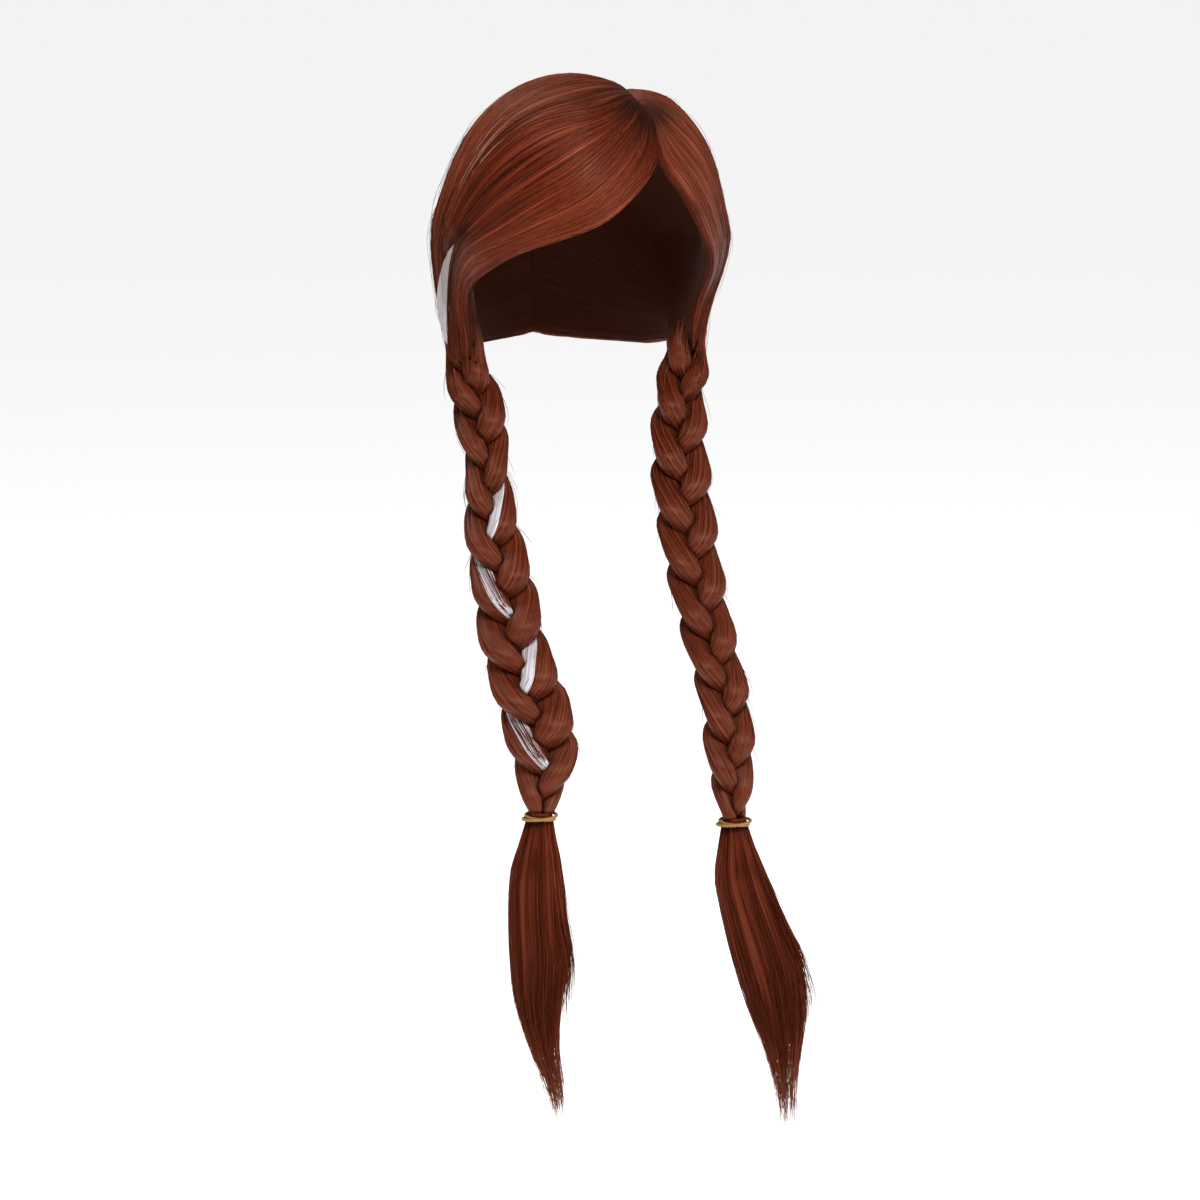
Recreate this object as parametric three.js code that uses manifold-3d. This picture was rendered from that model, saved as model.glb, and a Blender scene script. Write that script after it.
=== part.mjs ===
// A pigtail wig in its worn form: a hollow head of hair in three sections and a pale lock,
// gathered behind each ear into a three-strand braid with an elastic band and a loose tail.
// Millimetres, +Z up, the face opening towards -Y, the wearer's right at -X.
// The origin is the top of the hollow, where the crown of the head touches the hair.
import * as THREE from "three";
import Module from "manifold-3d";

const wasm = await Module();
wasm.setup();

// The hollow that the head fills
const headHalfWidth = 78;
const headFront = 94; // from the head's middle to the forehead
const headBack = 98; // from the head's middle to the back of the head
const crownRise = 98; // from the head's widest level up to the crown
const sideFall = 170; // how gently the walls draw in below the widest level

// The hair on the head
const hairDepth = 15; // thickness of the hair over the temples
const partingDepth = 8.5; // thickness where it parts
const seamGap = 0.5; // between two sections of hair
const partingSide = 26.5; // the parting, towards the wearer's left of the middle
const whorlForward = 38.5; // the parting's front end, where the fringe fans out
const paleLockWidth = 14;
const paleLockProud = 3; // how far it lies over the hair beside it
const fringeProud = 1.2; // how far the fringe lies over the hair behind it

// Where each side is gathered behind the ear
const rightGatherSide = 72.5;
const leftGatherSide = 75;
const gatherBack = 8;
const gatherDrop = 166; // below the crown
const gatherHalfWidth = 11;
const gatherHalfDepth = 14.5;
const gatherColumn = 230; // how high the hair's last stretch would start if it hung straight

// The braids
const rightBraidLength = 272;
const leftBraidLength = 283;
const braidHalfWidth = 22.5;
const braidHalfDepth = 13;
const braidReach = 107; // how far forward of the head's middle a braid hangs on the chest
const braidPeriods = 3; // times that each strand crosses over and comes back
const strandGap = 1;
const strandClear = 0.45; // kept around a strand where its facets meet the next one
const sliver = 0.08; // facets smaller than this are merged
const faceGap = 0.3; // between ends that meet face to face

// The bands and tails
const neckRadius = 7.4; // hair squeezed in the band
const bandWire = 0.9; // radius of the elastic
const bandRise = 1.7; // half the height between the band's two turns
const bandClear = 0.3;
const neckSpare = 0.8; // squeezed hair above and below the band
const rightTailLength = 181;
const leftTailLength = 185;
const tailHalfWidth = 21;
const tailFlatness = 0.62; // a tail's depth for its width
const tipHalfWidth = 2; // the least half width of a tail

const hairColour = 0x6b2a1b;
const fringeColour = 0x742f1f;
const paleColour = 0xcfc8c6;
const bandColour = 0x9a6a22;

// A smooth value at t, from 0 to 1, through evenly spaced numbers or lists of numbers.
function through(values, t) {
  const last = values.length - 1;
  const place = Math.min(Math.max(t, 0), 1) * last;
  const i = Math.min(Math.floor(place), last - 1);
  const f = place - i;
  const isList = Array.isArray(values[0]);
  const mix = (column) => {
    const pick = (n) => (isList ? values[n][column] : values[n]);
    const b = pick(i);
    const c = pick(i + 1);
    const a = i > 0 ? pick(i - 1) : 2 * b - c;
    const d = i < last - 1 ? pick(i + 2) : 2 * c - b;
    const bend = 2 * a - 5 * b + 4 * c - d;
    const swing = 3 * b - a - 3 * c + d;
    return b + 0.5 * f * (c - a + f * (bend + f * swing));
  };
  return isList ? values[0].map((_, column) => mix(column)) : mix(0);
}

const column = (table, name, t) => through(table.map((row) => row[name]), t);
const smooth = (low, high, x) => THREE.MathUtils.smoothstep(x, low, high);
const steps = (count) => Array.from({ length: count + 1 }, (_, i) => i / count);

// A closed mesh through rings of equally many points. Each end is closed by a strip, because
// point i of a ring lies across from point (last - i).
function loft(rings) {
  const count = rings[0].length;
  const positions = rings.flat().flatMap((p) => [p.x, p.y, p.z]);
  const index = [];
  const quad = (a, b, c, d) => index.push(a, b, c, a, c, d);
  for (let r = 0; r + 1 < rings.length; r++) {
    for (let i = 0; i < count; i++) {
      const low = r * count;
      const high = low + count;
      const next = (i + 1) % count;
      quad(low + i, low + next, high + next, high + i);
    }
  }
  const close = (start, turned) => {
    for (let i = 0; i + 1 < count / 2; i++) {
      const across = count - 1 - i;
      if (turned) quad(start + i, start + i + 1, start + across - 1, start + across);
      else quad(start + across, start + across - 1, start + i + 1, start + i);
    }
  };
  close(0, false);
  close((rings.length - 1) * count, true);
  const geometry = new THREE.BufferGeometry();
  geometry.setAttribute("position", new THREE.Float32BufferAttribute(positions, 3));
  geometry.setIndex(index);
  return facingOut(geometry);
}

// The geometry with its faces turned outwards, told by the sign of its volume.
function facingOut(geometry) {
  const p = geometry.getAttribute("position");
  const index = geometry.index.array;
  const [a, b, c] = [new THREE.Vector3(), new THREE.Vector3(), new THREE.Vector3()];
  let volume = 0;
  for (let i = 0; i < index.length; i += 3) {
    a.fromBufferAttribute(p, index[i]);
    b.fromBufferAttribute(p, index[i + 1]);
    c.fromBufferAttribute(p, index[i + 2]);
    volume += a.dot(b.cross(c)) / 6;
  }
  if (volume < 0) {
    for (let i = 0; i < index.length; i += 3) [index[i], index[i + 1]] = [index[i + 1], index[i]];
  }
  geometry.computeVertexNormals();
  return geometry;
}

function solidOf(geometry) {
  return new wasm.Manifold(
    new wasm.Mesh({
      numProp: 3,
      vertProperties: new Float32Array(geometry.getAttribute("position").array),
      triVerts: new Uint32Array(geometry.index.array),
    }),
  );
}

function geometryOf(solid) {
  const mesh = solid.getMesh();
  const geometry = new THREE.BufferGeometry();
  geometry.setAttribute("position", new THREE.Float32BufferAttribute(mesh.vertProperties, 3));
  geometry.setIndex(Array.from(mesh.triVerts));
  geometry.computeVertexNormals();
  return geometry;
}

// How the hair runs over the head. Each row is a line of hair from its root to the gather,
// through places given as shares of the head's half sizes: [side, front, up]. Side is counted
// away from the wearer's left on the right half, and from the right on the left half.
const parting = partingSide / headHalfWidth;
const whorl = [parting, whorlForward / headFront, 0.85];
const gather = (side) => [side * 0.9, -gatherBack / headBack, -0.36];

const rightRows = [
  {
    name: "fringe edge",
    root: whorl,
    crest: [0.335, 0.74, 0.575],
    brow: [-0.13, 0.965, 0.235],
    temple: [-0.7, 0.71, 0.035],
    ear: [-0.965, 0.22, -0.13],
    depth: 0.35,
  },
  {
    name: "fringe middle",
    root: [parting, 0.35, 0.875],
    crest: [0.13, 0.7, 0.7],
    brow: [-0.27, 0.86, 0.43],
    temple: [-0.72, 0.66, 0.18],
    ear: [-0.965, 0.22, -0.06],
    depth: 0.75,
  },
  {
    name: "fringe seam",
    root: [parting, 0.27, 0.9],
    crest: [-0.08, 0.54, 0.83],
    brow: [-0.53, 0.44, 0.72],
    temple: [-0.87, 0.25, 0.42],
    ear: [-0.985, 0.13, 0.02],
    depth: 1,
  },
  {
    name: "crown",
    root: [parting, 0, 0.94],
    crest: [-0.12, 0, 0.99],
    brow: [-0.6, 0, 0.8],
    temple: [-0.93, -0.03, 0.38],
    ear: [-0.99, -0.05, 0],
    depth: 1,
  },
  {
    name: "crown back",
    root: [parting, -0.5, 0.8],
    crest: [-0.1, -0.5, 0.86],
    brow: [-0.52, -0.46, 0.72],
    temple: [-0.84, -0.4, 0.38],
    ear: [-0.95, -0.26, -0.02],
    depth: 1,
  },
  {
    name: "back",
    root: [0, -0.88, 0.48],
    crest: [-0.2, -0.87, 0.44],
    brow: [-0.48, -0.79, 0.34],
    temple: [-0.74, -0.65, 0.14],
    ear: [-0.9, -0.4, -0.1],
    depth: 0.95,
  },
  {
    name: "back low",
    root: [0, -0.99, -0.05],
    crest: [-0.17, -0.97, -0.09],
    brow: [-0.4, -0.89, -0.15],
    temple: [-0.65, -0.71, -0.19],
    ear: [-0.84, -0.46, -0.24],
    depth: 0.85,
  },
  {
    name: "nape",
    root: [0, -0.93, -0.36],
    crest: [-0.17, -0.91, -0.37],
    brow: [-0.38, -0.84, -0.38],
    temple: [-0.61, -0.69, -0.385],
    ear: [-0.81, -0.44, -0.385],
    depth: 0.5,
  },
];
const leftRows = [
  {
    name: "front edge",
    root: whorl,
    crest: [0.4, 0.725, 0.565],
    brow: [0.575, 0.735, 0.35],
    temple: [0.8, 0.59, 0.1],
    ear: [0.96, 0.24, -0.14],
    depth: 0.35,
  },
  {
    name: "side front",
    root: [parting, 0.22, 0.91],
    crest: [0.55, 0.3, 0.78],
    brow: [0.77, 0.3, 0.56],
    temple: [0.92, 0.24, 0.27],
    ear: [0.985, 0.14, -0.06],
    depth: 1,
  },
  {
    name: "side",
    root: [parting, 0, 0.94],
    crest: [0.6, -0.06, 0.8],
    brow: [0.84, -0.06, 0.55],
    temple: [0.97, -0.06, 0.26],
    ear: [0.985, -0.07, -0.04],
    depth: 1.05,
  },
  {
    name: "crown back",
    root: [parting, -0.5, 0.8],
    crest: [0.56, -0.45, 0.7],
    brow: [0.77, -0.4, 0.49],
    temple: [0.89, -0.34, 0.23],
    ear: [0.95, -0.25, -0.05],
    depth: 1,
  },
  {
    name: "back",
    root: [0, -0.88, 0.48],
    crest: [0.2, -0.87, 0.44],
    brow: [0.48, -0.79, 0.34],
    temple: [0.74, -0.65, 0.14],
    ear: [0.9, -0.4, -0.1],
    depth: 0.95,
  },
  {
    name: "back low",
    root: [0, -0.99, -0.05],
    crest: [0.17, -0.97, -0.09],
    brow: [0.4, -0.89, -0.15],
    temple: [0.65, -0.71, -0.19],
    ear: [0.84, -0.46, -0.24],
    depth: 0.85,
  },
  {
    name: "nape",
    root: [0, -0.93, -0.36],
    crest: [0.17, -0.91, -0.37],
    brow: [0.38, -0.84, -0.38],
    temple: [0.61, -0.69, -0.385],
    ear: [0.81, -0.44, -0.385],
    depth: 0.5,
  },
];
// How deep the hair is from the root to the gather, as shares of hairDepth
const rightDepths = [0.66, 0.77, 0.82, 0.72, 0.98, 1];
const leftDepths = [1.1, 1.12, 1.18, 1.08, 1.34, 1.4];

const rightHair = { gatherSide: -rightGatherSide, rows: rightRows, depths: rightDepths };
const leftHair = { gatherSide: leftGatherSide, rows: leftRows, depths: leftDepths };
const fringeSeam = rightRows.findIndex((row) => row.name === "fringe seam");

// A point of a side's hair: across counts rows from the front, along runs from root to gather,
// and layer is 0 against the head and 1 outside.
function hairPoint(hair, across, along, layer, proud = 0) {
  const { rows, depths } = hair;
  const side = Math.sign(hair.gatherSide);
  const u = across / (rows.length - 1);
  const stations = ["root", "crest", "brow", "temple", "ear"].map((name) =>
    through(rows.map((row) => row[name]), u),
  );
  const share = new THREE.Vector3(...through([...stations, gather(side)], along)).normalize();
  const halfLength = share.y > 0 ? headFront : headBack;
  const halfHeight = share.z > 0 ? crownRise : sideFall;
  const onHead = new THREE.Vector3(
    share.x * headHalfWidth,
    -share.y * halfLength,
    share.z * halfHeight - crownRise,
  );
  const outward = new THREE.Vector3(
    share.x / headHalfWidth,
    -share.y / halfLength,
    share.z / halfHeight,
  ).normalize();
  const fullDepth = hairDepth * through(depths, along) * column(rows, "depth", u);
  const depth = THREE.MathUtils.lerp(partingDepth, fullDepth, smooth(0, 0.2, along)) + proud;
  onHead.addScaledVector(outward, layer * depth);
  // The last stretch turns downwards into a round bundle, front rows in front.
  const turn = THREE.MathUtils.degToRad(12 + 156 * u);
  const bulge = Math.sin(turn) * (layer * 2 - 1);
  const inBundle = new THREE.Vector3(
    hair.gatherSide + side * gatherHalfWidth * bulge,
    gatherBack - gatherHalfDepth * Math.cos(turn),
    (1 - along) * gatherColumn * (1 - 0.7 * u * u) - gatherDrop,
  );
  return onHead.lerp(inBundle, smooth(0.72, 1, along));
}

// How far to move across the rows, at one place, for a distance in millimetres.
function rowsFor(hair, across, along, distance) {
  const nudge = 0.02;
  const here = hairPoint(hair, across, along, 1);
  const there = hairPoint(hair, across + nudge, along, 1);
  return (distance * nudge) / here.distanceTo(there);
}

// A section of hair between two lines that run from root to gather. Neighbouring sections turn
// at the same stops, so their edges stay side by side.
const alongStops = [
  0, 0.07, 0.14, 0.22, 0.3, 0.38, 0.46, 0.54, 0.62, 0.7, 0.76, 0.82, 0.88, 0.94, 1,
];
function hairSection(hair, { from, to, acrossSteps, start = 0, proud = () => 0 }) {
  const rings = alongStops.filter((along) => along >= start).map((along) => {
    const [first, last] = [from(along), to(along)];
    const line = steps(acrossSteps).map((g) => first + (last - first) * g);
    const outer = line.map((across) => hairPoint(hair, across, along, 1, proud(along)));
    const inner = line.map((across) => hairPoint(hair, across, along, 0));
    return [...outer, ...inner.reverse()];
  });
  return loft(rings);
}

// The pale lock lies in the seam behind the fringe, from the temple to the gather.
const paleLockStart = 0.7;
const paleLockShape = [0.04, 0.55, 1, 1, 0.7, 0.4];
function paleLockSpread(along) {
  const t = (along - paleLockStart) / (1 - paleLockStart);
  return t < 0 ? 0 : paleLockWidth * through(paleLockShape, t);
}

const halfSeam = (hair, across, along) => rowsFor(hair, across, along, seamGap / 2);
const fringeBack = (along) => fringeSeam - halfSeam(rightHair, fringeSeam, along);
const lockFront = (along) => fringeSeam + halfSeam(rightHair, fringeSeam, along);
const lockBack = (along) =>
  lockFront(along) + rowsFor(rightHair, fringeSeam, along, paleLockSpread(along));
const crownFront = (along) =>
  lockBack(along) +
  (along < paleLockStart ? 0 : 2 * halfSeam(rightHair, fringeSeam, along));

// Moves a section's points off the middle line that it shares with the other side.
function clearOf(geometry, side) {
  const shift = (side * seamGap) / 2;
  return geometry.translate(shift, 0, 0);
}

// A braid hangs from the gather, over the shoulder and down the chest. Each row is an eighth of
// its length: the place of its middle and its half sizes, as shares of the named ones.
const rightRoute = [
  { side: 1, forward: -0.075, width: 0.57, depth: 1.1 },
  { side: 0.925, forward: 0.043, width: 0.76, depth: 1.06 },
  { side: 0.92, forward: 0.188, width: 0.61, depth: 1 },
  { side: 0.955, forward: 0.368, width: 0.78, depth: 0.98 },
  { side: 0.935, forward: 0.548, width: 0.89, depth: 0.98 },
  { side: 0.92, forward: 0.716, width: 0.95, depth: 1 },
  { side: 0.825, forward: 0.857, width: 1.03, depth: 1 },
  { side: 0.762, forward: 0.949, width: 0.93, depth: 0.92 },
  { side: 0.813, forward: 0.991, width: 0.4, depth: 0.62 },
];
const leftRoute = [
  { side: 1, forward: -0.075, width: 0.62, depth: 1.1 },
  { side: 0.885, forward: 0.049, width: 0.75, depth: 1.06 },
  { side: 0.818, forward: 0.202, width: 0.84, depth: 1.02 },
  { side: 0.785, forward: 0.391, width: 0.84, depth: 0.98 },
  { side: 0.788, forward: 0.576, width: 0.79, depth: 0.96 },
  { side: 0.823, forward: 0.747, width: 0.75, depth: 0.94 },
  { side: 0.887, forward: 0.881, width: 0.71, depth: 0.9 },
  { side: 0.895, forward: 0.962, width: 0.69, depth: 0.82 },
  { side: 0.909, forward: 0.999, width: 0.37, depth: 0.6 },
];
const rightBraid = {
  name: "right",
  gatherSide: -rightGatherSide,
  route: rightRoute,
  length: rightBraidLength,
  facing: -20,
  lead: 0.947,
};
const leftBraid = {
  name: "left",
  gatherSide: leftGatherSide,
  route: leftRoute,
  length: leftBraidLength,
  facing: -4,
  lead: 0.19,
};

// The level directions of a braid: across its face, and out of its face.
function braidAxes(braid) {
  const facing = THREE.MathUtils.degToRad(braid.facing);
  return {
    across: new THREE.Vector3(Math.cos(facing), Math.sin(facing), 0),
    out: new THREE.Vector3(Math.sin(facing), -Math.cos(facing), 0),
  };
}

function braidMiddle(braid, drop) {
  return new THREE.Vector3(
    braid.gatherSide * column(braid.route, "side", drop),
    -braidReach * column(braid.route, "forward", drop),
    -gatherDrop - faceGap - braid.length * drop,
  );
}

// Strands weave as sines: across once while they go in and out twice. Distances are measured
// with the depth stretched, so that a strand's free outline is a circle in this plane.
const weaveShare = 0.5;
const strandShare = 1 - weaveShare;
function strandTurn(braid, strand, drop) {
  return 2 * Math.PI * (braid.lead + drop * braidPeriods + strand / 3);
}

function strandPlace(braid, strand, drop) {
  const turn = strandTurn(braid, strand, drop);
  const reach = weaveShare * braidHalfWidth * column(braid.route, "width", drop);
  return new THREE.Vector2(reach * Math.sin(turn), -reach * Math.sin(2 * turn));
}

// The distance from a strand's middle to its surface in one direction. It is limited by its own
// round outline and, softly, by the lines half way to the other two strands.
function strandRadius(braid, strand, drop, angle) {
  const own = strandPlace(braid, strand, drop);
  const free = strandShare * braidHalfWidth * column(braid.route, "width", drop);
  const soft = 4;
  let sum = free ** -soft;
  for (const step of [1, 2]) {
    const away = strandPlace(braid, (strand + step) % 3, drop).sub(own);
    const facing = Math.cos(angle - away.angle());
    if (facing > 0) sum += (facing / (away.length() / 2 - strandGap / 2)) ** soft;
  }
  return sum ** (-1 / soft);
}

function strandPoint(braid, strand, drop, angle, share = 1, grown = 0) {
  const { across, out } = braidAxes(braid);
  const radius = share * strandRadius(braid, strand, drop, angle) + grown;
  const place = strandPlace(braid, strand, drop);
  place.x += radius * Math.cos(angle);
  place.y += radius * Math.sin(angle);
  const flatten =
    (braidHalfDepth * column(braid.route, "depth", drop)) /
    (braidHalfWidth * column(braid.route, "width", drop));
  return braidMiddle(braid, drop)
    .addScaledVector(across, place.x)
    .addScaledVector(out, place.y * flatten);
}

const strandSides = 8;
const strandSteps = 38;
function plainStrand(braid, strand, grown = 0) {
  return loft(
    steps(strandSteps).map((drop) =>
      steps(strandSides)
        .slice(1)
        .map((f) => 2 * Math.PI * (f - 0.5 / strandSides))
        .map((angle) => strandPoint(braid, strand, drop, angle, 1, grown)),
    ),
  );
}

// The largest body of a solid, as geometry without slivers.
function mainBody(solid) {
  const largest = solid.decompose().sort((a, b) => b.volume() - a.volume())[0];
  return geometryOf(largest.simplify(sliver));
}

// The pale lock goes on in one strand of the right braid, let into its upper inner edge.
const paleStrand = 1;
const paleHalfAngle = 0.45;
const paleInner = 0.62; // how deep it is let in, as a share of the strand's radius
function paleAngle(braid, drop) {
  const turn = strandTurn(braid, paleStrand, drop);
  return 1.68 + 0.3 * Math.sin(turn) - 0.6 * Math.cos(turn);
}

const paleClear = 0.4; // between it and the rest of the strand
function paleWedge(braid, grown = 0) {
  return loft(
    steps(strandSteps).map((drop) => {
      const middle = paleAngle(braid, drop);
      const radius = (angle) => strandRadius(braid, paleStrand, drop, middle + angle);
      const edge = paleHalfAngle + grown / (0.8 * radius(0));
      const at = (angle, reach) =>
        strandPoint(braid, paleStrand, drop, middle + angle, 0, reach);
      const outer = [-edge, edge].map((angle) => at(angle, 1.35 * radius(angle)));
      const inner = [edge, -edge].map((angle) => at(angle, paleInner * radius(angle) - grown));
      return [...outer, ...inner];
    }),
  );
}

// An elastic band: one closed cord that goes round the neck of hair twice and crosses itself.
class BandCurve extends THREE.Curve {
  constructor(centre) {
    super();
    this.centre = centre;
  }
  getPoint(t, target = new THREE.Vector3()) {
    const turn = 4 * Math.PI * t;
    const spread = bandWire + bandClear / 2;
    const middle = neckRadius + bandClear + spread + bandWire;
    const radius = middle + spread * Math.cos(turn / 2);
    target.set(
      radius * Math.cos(turn),
      radius * Math.sin(turn),
      bandRise * Math.sin(turn / 2),
    );
    return target.add(this.centre);
  }
}

const neckHeight = 2 * (bandRise + bandWire + neckSpare); // the squeezed hair in the band
function neckTop(braid) {
  return braidMiddle(braid, 1).setZ(-gatherDrop - 2 * faceGap - braid.length);
}

function bandGeometry(braid) {
  const centre = neckTop(braid);
  centre.z -= neckHeight / 2;
  return new THREE.TubeGeometry(new BandCurve(centre), 36, bandWire, 5, true);
}

// A tail of loose hair below the band: locks that spread, hang and thin out, fused at the neck.
// Each row is a sixth of its length: its sway and half width as shares of its greatest.
const rightTail = {
  length: rightTailLength,
  sway: 9,
  rows: [
    { sway: 0, width: 0.36 },
    { sway: -0.29, width: 0.72 },
    { sway: -0.25, width: 0.84 },
    { sway: 0, width: 0.96 },
    { sway: 0.2, width: 0.9 },
    { sway: 0.44, width: 0.66 },
    { sway: 1, width: 0.3 },
  ],
};
const leftTail = {
  length: leftTailLength,
  sway: 35,
  rows: [
    { sway: 0, width: 0.36 },
    { sway: 0.12, width: 0.8 },
    { sway: 0.36, width: 1.02 },
    { sway: 0.62, width: 1.2 },
    { sway: 0.82, width: 1.2 },
    { sway: 0.96, width: 0.92 },
    { sway: 1, width: 0.4 },
  ],
};
const tailLocks = [
  { turn: 0.08, reach: 0.9 },
  { turn: 0.27, reach: 0.97 },
  { turn: 0.47, reach: 0.86 },
  { turn: 0.66, reach: 1 },
  { turn: 0.86, reach: 0.93 },
];

function tailLock(braid, tail, lock) {
  const { across, out } = braidAxes(braid);
  const top = neckTop(braid);
  const sides = 7;
  const free = tail.length * lock.reach - neckHeight;
  const falls = [0, ...steps(7).map((f) => neckHeight + free * f ** 1.25)];
  const rings = falls.map((fall) => {
    const hang = Math.max(fall - neckHeight, 0) / (tail.length - neckHeight);
    const half = Math.max(tailHalfWidth * column(tail.rows, "width", hang), tipHalfWidth);
    const squeezed = hang === 0 ? neckRadius : half;
    const flat = THREE.MathUtils.lerp(1, tailFlatness, smooth(0, 0.16, hang));
    const thin = Math.sqrt(Math.max(1 - (fall / tail.length / lock.reach) ** 3, 0.003));
    const own = squeezed * 0.52 * thin;
    const spread = squeezed * 0.48;
    const turn = 2 * Math.PI * lock.turn;
    const middle = top
      .clone()
      .addScaledVector(across, tail.sway * column(tail.rows, "sway", hang))
      .addScaledVector(across, spread * Math.cos(turn))
      .addScaledVector(out, spread * flat * Math.sin(turn));
    middle.z -= fall;
    return steps(sides)
      .slice(1)
      .map((g) => {
        const angle = 2 * Math.PI * (g - 0.5 / sides);
        return middle
          .clone()
          .addScaledVector(across, own * Math.cos(angle))
          .addScaledVector(out, own * flat * Math.sin(angle));
      });
  });
  return loft(rings);
}

function tailGeometry(braid, tail) {
  const locks = tailLocks.map((lock) => solidOf(tailLock(braid, tail, lock)));
  return geometryOf(locks.reduce((all, lock) => all.add(lock)));
}

function hairMaterial(colour) {
  return new THREE.MeshStandardMaterial({ color: colour, roughness: 0.42, metalness: 0 });
}

function addMesh(group, name, geometry, material) {
  const mesh = new THREE.Mesh(geometry, material);
  mesh.name = name;
  group.add(mesh);
}

function addHead(group, materials) {
  const fringe = hairSection(rightHair, {
    from: () => 0,
    to: fringeBack,
    acrossSteps: 9,
    proud: (along) => fringeProud * smooth(0.1, 0.4, along) * (1 - smooth(0.8, 1, along)),
  });
  const crownRight = hairSection(rightHair, {
    from: crownFront,
    to: () => rightRows.length - 1,
    acrossSteps: 15,
  });
  const crownLeft = hairSection(leftHair, {
    from: () => 0,
    to: () => leftRows.length - 1,
    acrossSteps: 18,
  });
  const paleLock = hairSection(rightHair, {
    from: lockFront,
    to: lockBack,
    acrossSteps: 3,
    start: paleLockStart,
    proud: (along) => paleLockProud * smooth(0.7, 0.8, along) * (1 - smooth(0.86, 1, along)),
  });
  addMesh(group, "fringe", clearOf(fringe, -1), materials.fringe);
  addMesh(group, "crown_right", clearOf(crownRight, -1), materials.hair);
  addMesh(group, "crown_left", clearOf(crownLeft, 1), materials.hair);
  addMesh(group, "pale_lock", clearOf(paleLock, -1), materials.pale);
}

function addBraid(group, braid, materials) {
  const plain = (strand, grown) => solidOf(plainStrand(braid, strand, grown));
  const add = (piece, solid, material) =>
    addMesh(group, `${braid.name}_braid_${piece}`, mainBody(solid), material);
  const nearFirst = plain(0, strandClear);
  const nearSecond = plain(paleStrand, strandClear);
  const second = plain(paleStrand, 0).subtract(nearFirst);
  add("strand_1", plain(0, 0), materials.hair);
  if (braid === rightBraid) {
    add("strand_2", second.subtract(solidOf(paleWedge(braid, paleClear))), materials.hair);
    add("pale_lock", second.intersect(solidOf(paleWedge(braid))), materials.pale);
  } else {
    add("strand_2", second, materials.hair);
  }
  add("strand_3", plain(2, 0).subtract(nearFirst).subtract(nearSecond), materials.hair);
}

function addPigtail(group, braid, tail, materials) {
  addBraid(group, braid, materials);
  addMesh(group, `${braid.name}_band`, bandGeometry(braid), materials.band);
  addMesh(group, `${braid.name}_tail`, tailGeometry(braid, tail), materials.hair);
}

const materials = {
  hair: hairMaterial(hairColour),
  fringe: hairMaterial(fringeColour),
  pale: hairMaterial(paleColour),
  band: new THREE.MeshStandardMaterial({ color: bandColour, roughness: 0.7, metalness: 0 }),
};
const wig = new THREE.Group();
wig.name = "pigtail_wig";
addHead(wig, materials);
addPigtail(wig, rightBraid, rightTail, materials);
addPigtail(wig, leftBraid, leftTail, materials);

export default wig;
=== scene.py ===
import math

import bpy
import numpy as np
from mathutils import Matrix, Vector


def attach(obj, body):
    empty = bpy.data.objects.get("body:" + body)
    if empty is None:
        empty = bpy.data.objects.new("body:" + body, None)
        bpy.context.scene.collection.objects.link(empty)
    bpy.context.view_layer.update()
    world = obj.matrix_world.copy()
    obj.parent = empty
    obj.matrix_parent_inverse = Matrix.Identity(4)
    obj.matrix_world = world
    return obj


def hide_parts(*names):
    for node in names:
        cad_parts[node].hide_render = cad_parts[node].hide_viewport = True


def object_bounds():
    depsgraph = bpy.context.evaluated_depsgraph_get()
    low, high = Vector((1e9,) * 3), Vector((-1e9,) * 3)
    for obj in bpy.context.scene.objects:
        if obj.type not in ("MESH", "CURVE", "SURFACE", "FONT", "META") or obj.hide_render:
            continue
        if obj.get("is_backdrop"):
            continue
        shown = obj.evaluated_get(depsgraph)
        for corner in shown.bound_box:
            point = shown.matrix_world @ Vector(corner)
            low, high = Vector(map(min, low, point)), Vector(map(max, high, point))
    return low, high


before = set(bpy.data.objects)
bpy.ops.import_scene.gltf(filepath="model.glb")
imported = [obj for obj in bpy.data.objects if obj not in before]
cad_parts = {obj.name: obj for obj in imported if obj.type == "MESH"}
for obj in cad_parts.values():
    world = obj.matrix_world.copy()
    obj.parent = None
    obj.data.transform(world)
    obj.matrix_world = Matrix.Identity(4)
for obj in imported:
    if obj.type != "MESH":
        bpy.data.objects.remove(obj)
cad_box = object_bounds()

# Sizes are millimetres, as in the CAD source, and a mesh is scaled to metres when it is made.
TO_METRES = 0.001
rng = np.random.default_rng(7)

# The hollow that the head fills
head_half_width = 78.0
head_front = 94.0
head_back = 98.0
crown_rise = 98.0
side_fall = 170.0

# The hair on the head
hair_depth = 15.0
parting_depth = 8.5
parting_side = 26.5
whorl_forward = 38.5
pale_lock_width = 14.0
pale_lock_proud = 3.0
fringe_proud = 1.2

# Where each side is gathered
right_gather_side = 72.5
left_gather_side = 75.0
gather_back = 8.0
gather_drop = 166.0
gather_half_width = 11.0
gather_half_depth = 14.5
gather_column = 230.0

# The braids
braid_half_width = 22.5
braid_half_depth = 13.0
braid_reach = 107.0
braid_periods = 3
face_gap = 0.3
strand_gap = 0.3
weave_share = 0.5

# The bands and tails
neck_radius = 7.4
band_wire = 0.9
band_rise = 1.7
band_clear = 0.3
neck_spare = 0.8
tail_half_width = 21.0
tail_flatness = 0.62
tip_half_width = 2.0
neck_height = 2 * (band_rise + band_wire + neck_spare)


def smooth(low, high, x):
    """0 below low, 1 above high, and 3s^2 - 2s^3 between, where s runs from 0 to 1."""
    s = np.clip((x - low) / (high - low), 0, 1)
    return s * s * (3 - 2 * s)


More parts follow.
